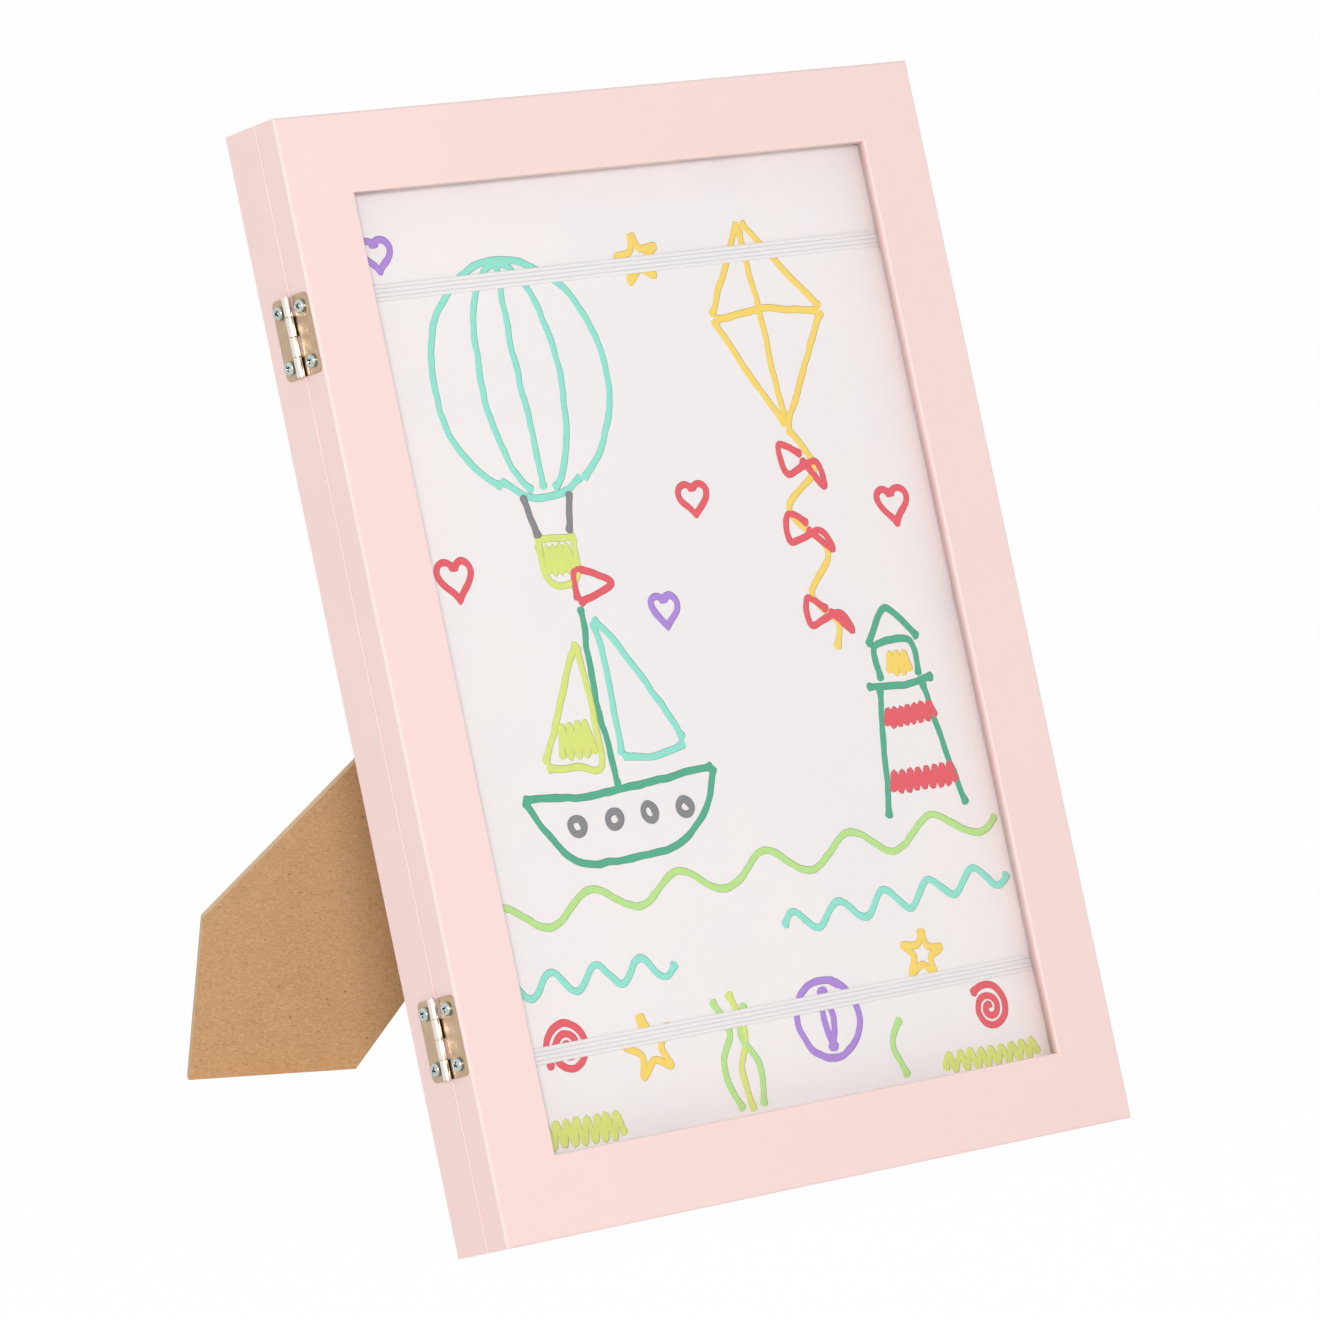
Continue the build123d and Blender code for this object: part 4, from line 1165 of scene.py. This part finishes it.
def sheet_bow(across, up):
    """How far the top sheet stands off its seat at a place in the frame's plane."""
    bow = settings("sheet").bow
    side = max(0.0, 1 - (across / SHEET_HALF_WIDTH) ** 4)
    if abs(up) < STRAP_RISE:
        between = 1 - (up / STRAP_RISE) ** 2
        return bow * between * between * side
    end_share = 0.4
    beyond = (abs(up) - STRAP_RISE) / (SHEET_HALF_HEIGHT - STRAP_RISE)
    return end_share * bow * beyond * beyond * side


class ARTFRAME_OT_members(bpy.types.Operator):
    """Paint the door and box members and ease their edges"""

    bl_idname = "artframe.members"
    bl_label = "Painted members"

    def execute(self, context):
        width = settings("paint").rear_arris
        for body in ("door", "box"):
            for member in ("left_stile", "right_stile", "top_rail", "bottom_rail"):
                node = f"{body}_{member}"
                made = eased_copy(node, width, member_softness)
                paint = "paint_upright" if member.endswith("stile") else "paint_across"
                finish_piece(made, body, "painted_wood", paint, node)
        return {"FINISHED"}


class ARTFRAME_OT_sheets(bpy.types.Operator):
    """Lay the stored sheets and the top sheet in the box"""

    bl_idname = "artframe.sheets"
    bl_label = "Sheets"

    def execute(self, context):
        finish_piece(self.top_sheet(), "box", "drawing_paper", "sketch_paper", "artwork_sheet")
        stack_tree()
        made = from_bmesh("sheet_stack", bmesh.new())
        made = grow(made, "sheet_stack", "stored_paper", Count=settings("sheet").count)
        made.data.transform(FRONT @ Matrix.Translation((*SHEET_PLACE, -STACK_DEPTH)))
        finish_piece(made, "box", "drawing_paper", None, "stored_sheets")
        return {"FINISHED"}

    def top_sheet(self):
        """Thin sheet that bows out a little between the straps."""
        columns, rows = 56, 80
        across = [SHEET_HALF_WIDTH * (2 * i / columns - 1) for i in range(columns + 1)]
        up = [SHEET_PLACE[1] + SHEET_HALF_HEIGHT * (2 * j / rows - 1) for j in range(rows + 1)]
        shape = bmesh.new()
        front, back = (
            [
                [
                    shape.verts.new((SHEET_PLACE[0] + u, v, sheet_bow(u, v) - SHEET_DEPTH - depth))
                    for u in across
                ]
                for v in up
            ]
            for depth in (0, SHEET_THICKNESS)
        )
        for grid, order in ((front, 1), (back, -1)):
            for j in range(rows):
                for i in range(columns):
                    corners = (grid[j][i], grid[j][i + 1], grid[j + 1][i + 1], grid[j + 1][i])
                    shape.faces.new(corners[::order])
        rim = [(j, 0) for j in range(rows, 0, -1)] + [(0, i) for i in range(columns)]
        rim += [(j, columns) for j in range(rows)] + [(rows, i) for i in range(columns, 0, -1)]
        for (j, i), (k, l) in zip(rim, rim[1:] + rim[:1]):
            shape.faces.new((front[k][l], front[j][i], back[j][i], back[k][l]))
        bmesh.ops.recalc_face_normals(shape, faces=shape.faces)
        return shade(from_bmesh("drawing_sheet", shape, FRONT))


class ARTFRAME_OT_drawing(bpy.types.Operator):
    """Draw the felt-tip strokes on the top sheet"""

    bl_idname = "artframe.drawing"
    bl_label = "Drawing"

    def execute(self, context):
        sheet = settings("sheet")
        stroke_tree()
        for seed, (ink, lines) in enumerate(drawn_strokes().items()):
            felt_tip("ink_" + ink, INK_COLOURS[ink])
            curve = bpy.data.curves.new("strokes_" + ink, "CURVE")
            curve.dimensions = "3D"
            for line in lines:
                spline = curve.splines.new("POLY")
                spline.points.add(len(line) - 1)
                for point, (x, y) in zip(spline.points, line):
                    point.co = (x * MM, y * MM, 0, 1)
            made = grow(
                link_object("strokes_" + ink, curve), "felt_tip_strokes", "ink_" + ink,
                Width=sheet.stroke, Wobble=sheet.wobble, Seed=seed,
            )
            self.lay(made, INK_RISE + INK_STEP * seed)
            finish_piece(made, "box", "drawing_paper", None)
        return {"FINISHED"}

    def lay(self, made, rise):
        """Lays flat strokes on the bowed sheet, and keeps them within it."""
        for vertex in made.data.vertices:
            x = min(max(vertex.co.x, -SHEET_HALF_WIDTH), SHEET_HALF_WIDTH)
            y = min(max(vertex.co.y, -SHEET_HALF_HEIGHT), SHEET_HALF_HEIGHT)
            u, v = x + SHEET_PLACE[0], y + SHEET_PLACE[1]
            vertex.co = (u, v, vertex.co.z - SHEET_DEPTH + sheet_bow(x, v) + rise)
        made.data.transform(FRONT)


class ARTFRAME_OT_straps(bpy.types.Operator):
    """Stretch the ribbed elastic straps over the sheets"""

    bl_idname = "artframe.straps"
    bl_label = "Elastic straps"

    def execute(self, context):
        tape_tree()
        strap = settings("strap")
        for name, level in (("upper", 1), ("lower", -1)):
            made = grow(
                from_bmesh(f"{name}_ribbed_strap", bmesh.new()), "ribbed_tape", "elastic_tape",
                Length=2 * STRAP_HALF_LENGTH, Width=strap.width, Thickness=strap.thickness,
                Ribs=strap.ribs,
            )
            place = Matrix.Translation((0, level * STRAP_RISE, -SHEET_DEPTH))
            made.data.transform(FRONT @ place)
            shade(made, angle=40)
            finish_piece(made, "box", "elastic", None, f"{name}_elastic_strap")
        return {"FINISHED"}


class ARTFRAME_OT_hinges(bpy.types.Operator):
    """Roll the leaves of the door hinges and of the easel hinge"""

    bl_idname = "artframe.hinges"
    bl_label = "Hinges"

    def execute(self, context):
        for name, level in (("upper", 1), ("lower", -1)):
            centre = FRONT @ Vector((-FRAME_HALF_WIDTH, level * HINGE_RISE, -SEAM_DEPTH))
            self.door_leaf(name, "box", centre, -OUT, 0)
            self.door_leaf(name, "door", centre, OUT, 1)
        self.easel_hinge()
        return {"FINISHED"}

    def door_leaf(self, level, owner, centre, out, first):
        """One leaf of a door hinge, with every other knuckle from the first."""
        rise = -RIGHT
        along = rise.cross(out)
        sign = 1 if along.dot(UP) > 0 else -1
        pitch = HINGE_HEIGHT / HINGE_KNUCKLES
        rolls = []
        for i in range(first, HINGE_KNUCKLES, 2):
            top = HINGE_HEIGHT / 2 - i * pitch
            ends = (top - KNUCKLE_GAP / 2, top - pitch + KNUCKLE_GAP / 2)
            rolls.append(tuple(sorted(sign * end for end in ends)))
        made = rolled_leaf(
            f"{level}_{owner}_leaf", axes_matrix(out, along, rise, centre),
            length=HINGE_HEIGHT, reach=8.4 * MM, gauge=HINGE_GAUGE, barrel=1.35 * MM,
            lift=0.3 * MM, notch=1.85 * MM, rolls=sorted(rolls),
            holes=[(HINGE_SCREW_OUT, side * HINGE_SCREW_RISE) for side in (-1, 1)],
            corner=1.8 * MM, hole_radius=1.05 * MM,
        )
        node = f"{level}_hinge_{owner}_leaf"
        finish_piece(made, owner, "nickel_plate", "rolled_nickel", node)

    def easel_hinge(self):
        """Leaf on the back panel, and the leaf on the leg with its stop."""
        out, rise = OUT.cross(LEG_ACROSS), -OUT
        half, inner = EASEL_LENGTH / 2, EASEL_MIDDLE_HALF + KNUCKLE_GAP
        made = rolled_leaf(
            "easel_back_leaf",
            axes_matrix(out, rise.cross(out), rise, LEG_PIN + OUT * EASEL_PIN_RISE),
            length=EASEL_LENGTH, reach=16 * MM, gauge=EASEL_GAUGE, barrel=2 * MM,
            lift=0.25 * MM, notch=2.5 * MM, rolls=[(-half, -inner), (inner, half)],
            holes=[(BACK_RIVET_UP, side * RIVET_SIDE) for side in (-1, 1)],
            corner=3 * MM, hole_radius=1.55 * MM,
        )
        finish_piece(made, "box", "nickel_plate", "rolled_nickel", "leg_hinge_back_leaf")
        leg_leaf = eased_copy("leg_hinge_leg_leaf", settings("metal").soft_edge)
        finish_piece(leg_leaf, "leg", "nickel_plate", "rolled_nickel", "leg_hinge_leg_leaf")


class ARTFRAME_OT_fasteners(bpy.types.Operator):
    """Drive the screws, pins, nails and rivets"""

    bl_idname = "artframe.fasteners"
    bl_label = "Fasteners"

    def execute(self, context):
        fastener_tree()
        self.screws()
        self.pins()
        self.rivets()
        return {"FINISHED"}

    def screws(self):
        """Cross-head screws of the door hinges."""
        metal = settings("metal")
        screw = self.template(
            "screw", metal.screw_radius, metal.screw_height, rim=0.7 * MM, crossed=True
        )
        across = -FRAME_HALF_WIDTH - HINGE_GAUGE
        rises = [
            level * HINGE_RISE + up * HINGE_SCREW_RISE for level in (-1, 1) for up in (-1, 1)
        ]
        for owner, toward in (("door", 1), ("box", -1)):
            out = toward * HINGE_SCREW_OUT - SEAM_DEPTH
            places = [FRONT @ Vector((across, rise, out)) for rise in rises]
            name = f"{owner}_hinge_screws"
            made = place_fasteners(name, screw, places, -RIGHT, "zinc_plate", seed=4)
            finish_piece(made, owner, "zinc_screw", None, f"{owner}_leaf_screws")
        bpy.data.objects.remove(screw)

    def pins(self):
        """Pins that hold the back panel in the box."""
        pin = self.template("pin", radius=1.4 * MM, height=0.4 * MM, rim=0.15 * MM)
        sides, depth = (-1, 1), PANEL_PIN_SINK - FRAME_DEPTH
        places = [
            (side * PANEL_PIN_COLUMN, share * 2 * FRAME_HALF_HEIGHT)
            for side in sides for share in PANEL_PIN_RISES
        ] + [
            (share * 2 * FRAME_HALF_WIDTH, side * PANEL_PIN_ROW)
            for side in sides for share in PANEL_PIN_SPREADS
        ]
        places = [FRONT @ Vector((*place, depth)) for place in places]
        made = place_fasteners("panel_pins", pin, places, -OUT, "steel_wire", seed=5)
        finish_piece(made, "box", "bare_steel", None, "back_panel_pins")
        bpy.data.objects.remove(pin)

    def rivets(self):
        """Rivets of the easel hinge."""
        rivet = self.template("rivet", radius=2.8 * MM, height=1.1 * MM, rim=0.25 * MM)
        back = (LEG_BACK, -BACK_RIVET_UP, EASEL_GAUGE - EASEL_PIN_RISE)
        leg = (LEG, LEG_RIVET_DOWN, EASEL_GAUGE + EASEL_LEG_FACE)
        for body, leaf, seed, out, (axes, down, height) in (
            ("box", "back", 6, -OUT, back), ("leg", "leg", 7, LEG_OUT, leg)
        ):
            places = [axes @ Vector((side * RIVET_SIDE, down, height)) for side in (-1, 1)]
            made = place_fasteners(f"{leaf}_rivets", rivet, places, out, "rolled_nickel", seed)
            finish_piece(made, body, "nickel_plate", None, f"{leaf}_leaf_rivets")
        bpy.data.objects.remove(rivet)

    def template(self, name, radius, height, rim, crossed=False):
        """Head and shank of one fastener, seated at the origin with its head along Z."""
        shank, shank_end, tip = 0.42 * radius, -3 * MM, -3.6 * MM
        profile = dome_profile(radius, height, rim)
        profile += [(radius, 0), (shank, 0), (shank, shank_end), (0, tip)]
        made = from_bmesh(name, turned_shape(profile, segments=40))
        if crossed:
            made = cut_cross(made, width=0.6 * MM, length=2.5 * MM, depth=0.9 * MM, top=height)
            made = ease_edges(made, 0.05 * MM, segments=1, angle=45)
            self.mark_painted_shade(made, radius, height, rim)
        return made

    def mark_painted_shade(self, made, radius, height, rim):
        """Marks painted shade on the walls of the cross and at the foot of the head, for the
        material.
        """
        cross_reach, foot_start, foot_top = 0.75 * radius, 0.9 * radius, 0.8 * rim
        sunk, foot_painted_shade = 0.12 * MM, 0.7
        marks = made.data.attributes.new("recess", "FLOAT", "POINT")
        for vertex in made.data.vertices:
            out = sqrt(vertex.co.x**2 + vertex.co.y**2)
            dome = rim + (height - rim) * sqrt(max(0.0, 1 - (out / radius) ** 2))
            under = out < cross_reach and 0 < vertex.co.z < dome - sunk
            foot = out > foot_start and vertex.co.z < foot_top
            # Painted shade in the cross and around the foot of the head.
            marks.data[vertex.index].value = 1.0 if under else foot_painted_shade if foot else 0.0


class ARTFRAME_OT_boards(bpy.types.Operator):
    """Finish the easel leg and the back panel"""

    bl_idname = "artframe.boards"
    bl_label = "Fibreboard"

    def execute(self, context):
        width = settings("board").soft_edge
        leg = eased_copy("easel_leg", width)
        finish_piece(leg, "leg", "fibreboard", "fibreboard_leg", "easel_leg")
        panel = eased_copy("back_panel", width)
        finish_piece(panel, "box", "fibreboard", "fibreboard_back", "back_panel")
        return {"FINISHED"}


class ARTFRAME_OT_fittings(bpy.types.Operator):
    """Finish the pane, the catches, the hangers and the small parts kept from the CAD"""

    bl_idname = "artframe.fittings"
    bl_label = "Pane and fittings"

    def execute(self, context):
        kept = {
            "clear_glazing": ("glazing_pane",),
            "steel_wire": (
                "glazing_points", "door_corner_nails", "box_corner_nails", "strap_staples",
            ),
            "zinc_plate": ("catch_plates", "catch_plate_screws"),
            "magnet_face": ("catch_magnets",),
            "rolled_nickel": ("hinge_pins", "leg_hinge_pin"),
            "stamped_brass": ("upright_hanger", "landscape_hanger", "hanger_nails"),
        }
        for material, pieces in kept.items():
            for node in pieces:
                for place in nodes[node].material_slots:
                    place.material = bpy.data.materials[material]
        return {"FINISHED"}


class ARTFRAME_OT_stage(bpy.types.Operator):
    """Set the floor, the lamps and the camera"""

    bl_idname = "artframe.stage"
    bl_label = "Stage"

    def execute(self, context):
        stage = settings("stage")
        scene = context.scene
        scene.view_settings.view_transform = "Standard"
        self.floor()
        self.sky(scene, stage.sky)
        self.lamp("key_lamp", KEY_OFFSET, FRONT.translation, KEY_SIZE, stage.key)
        self.camera(scene, stage.lens)
        return {"FINISHED"}

    def white_where_seen(self, make, lit, output, seen_share):
        """Plain white for camera, glossy and transmission rays, mixed with what is lit."""
        rays = make.add("ShaderNodeLightPath")
        seen = make.math("MAXIMUM", rays["Is Camera Ray"], rays["Is Glossy Ray"])
        seen = make.math("MAXIMUM", seen, rays["Is Transmission Ray"])
        share = make.math("MULTIPLY", seen, seen_share)
        white = make.add("ShaderNodeEmission", Color=WHITE, Strength=1.0)[0]
        mixed = make.add("ShaderNodeMixShader", {0: share, 1: lit, 2: white})[0]
        make.join(mixed, make.tree.nodes[output].inputs["Surface"])

    def floor(self):
        """Wide pale floor that keeps the object's shadow."""
        pale = full_colour(srgb(250, 250, 250))
        finish = Finish("pale_floor", Base_Color=pale, Roughness=0.9, Specular_IOR_Level=0.0)
        lit = finish.shader.outputs[0]
        self.white_where_seen(finish, lit, "Material Output", FLOOR_SEEN_SHARE)
        shape = bmesh.new()
        bmesh.ops.create_grid(shape, x_segments=1, y_segments=1, size=FLOOR_REACH)
        made = from_bmesh("floor", shape)
        made.data.materials.append(bpy.data.materials["pale_floor"])

    def sky(self, scene, strength):
        """Even light from all sides, seen as white."""
        world = bpy.data.worlds.new("studio")
        scene.world = world
        world.use_nodes = True
        lit = world.node_tree.nodes["Background"]
        lit.inputs["Color"].default_value = WHITE
        lit.inputs["Strength"].default_value = strength
        self.white_where_seen(NodeMaker(world.node_tree), lit.outputs[0], "World Output", 1.0)

    def lamp(self, name, offset, target, size, power):
        """Soft square lamp aimed at the object."""
        data = bpy.data.lights.new(name, "AREA")
        data.shape = "SQUARE"
        data.size = size
        data.energy = power
        made = link_object(name, data)
        made.location = target + offset
        made.rotation_euler = (-offset).to_track_quat("-Z", "Y").to_euler()

    def camera(self, scene, lens):
        """Camera at the photograph's viewing angle."""
        data = bpy.data.cameras.new("camera")
        data.sensor_width = SENSOR_WIDTH
        data.lens = lens
        data.clip_start, data.clip_end = CLIP_START, CLIP_END
        own = Matrix((CAMERA_RIGHT, -CAMERA_DOWN, -CAMERA_AHEAD)).transposed()
        turn = FRONT.to_3x3() @ own
        made = link_object("camera", data)
        made.matrix_world = Matrix.Translation(FRONT @ CAMERA_PLACE) @ turn.to_4x4()
        scene.camera = made


piece_operators = (
    ARTFRAME_OT_members,
    ARTFRAME_OT_sheets,
    ARTFRAME_OT_drawing,
    ARTFRAME_OT_straps,
    ARTFRAME_OT_hinges,
    ARTFRAME_OT_fasteners,
    ARTFRAME_OT_boards,
    ARTFRAME_OT_fittings,
    ARTFRAME_OT_stage,
)


class ARTFRAME_PT_panel(bpy.types.Panel):
    """Pieces of the art frame"""

    bl_idname = "ARTFRAME_PT_panel"
    bl_label = "Art frame"
    bl_space_type = "VIEW_3D"
    bl_region_type = "UI"
    bl_category = "Art frame"

    def draw(self, context):
        for operator in piece_operators:
            self.layout.operator(operator.bl_idname)
        for name, group in settings_classes.items():
            box = self.layout.box()
            box.label(text=group.bl_rna.description)
            held = getattr(context.scene, name)
            for key in group.__annotations__:
                box.prop(held, key)


def register():
    """Registers the settings, the operators and the panel."""
    for name, group in settings_classes.items():
        bpy.utils.register_class(group)
        setattr(bpy.types.Scene, name, PointerProperty(type=group))
    for operator in piece_operators:
        bpy.utils.register_class(operator)
    bpy.utils.register_class(ARTFRAME_PT_panel)


def unregister():
    """Removes what register added."""
    bpy.utils.unregister_class(ARTFRAME_PT_panel)
    for operator in reversed(piece_operators):
        bpy.utils.unregister_class(operator)
    for name, group in reversed(settings_classes.items()):
        delattr(bpy.types.Scene, name)
        bpy.utils.unregister_class(group)


def main():
    """Dresses the part."""
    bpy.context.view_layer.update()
    register()
    make_materials()
    for operator in piece_operators:
        group, name = operator.bl_idname.split(".")
        getattr(getattr(bpy.ops, group), name)()


if __name__ == "__main__":
    main()
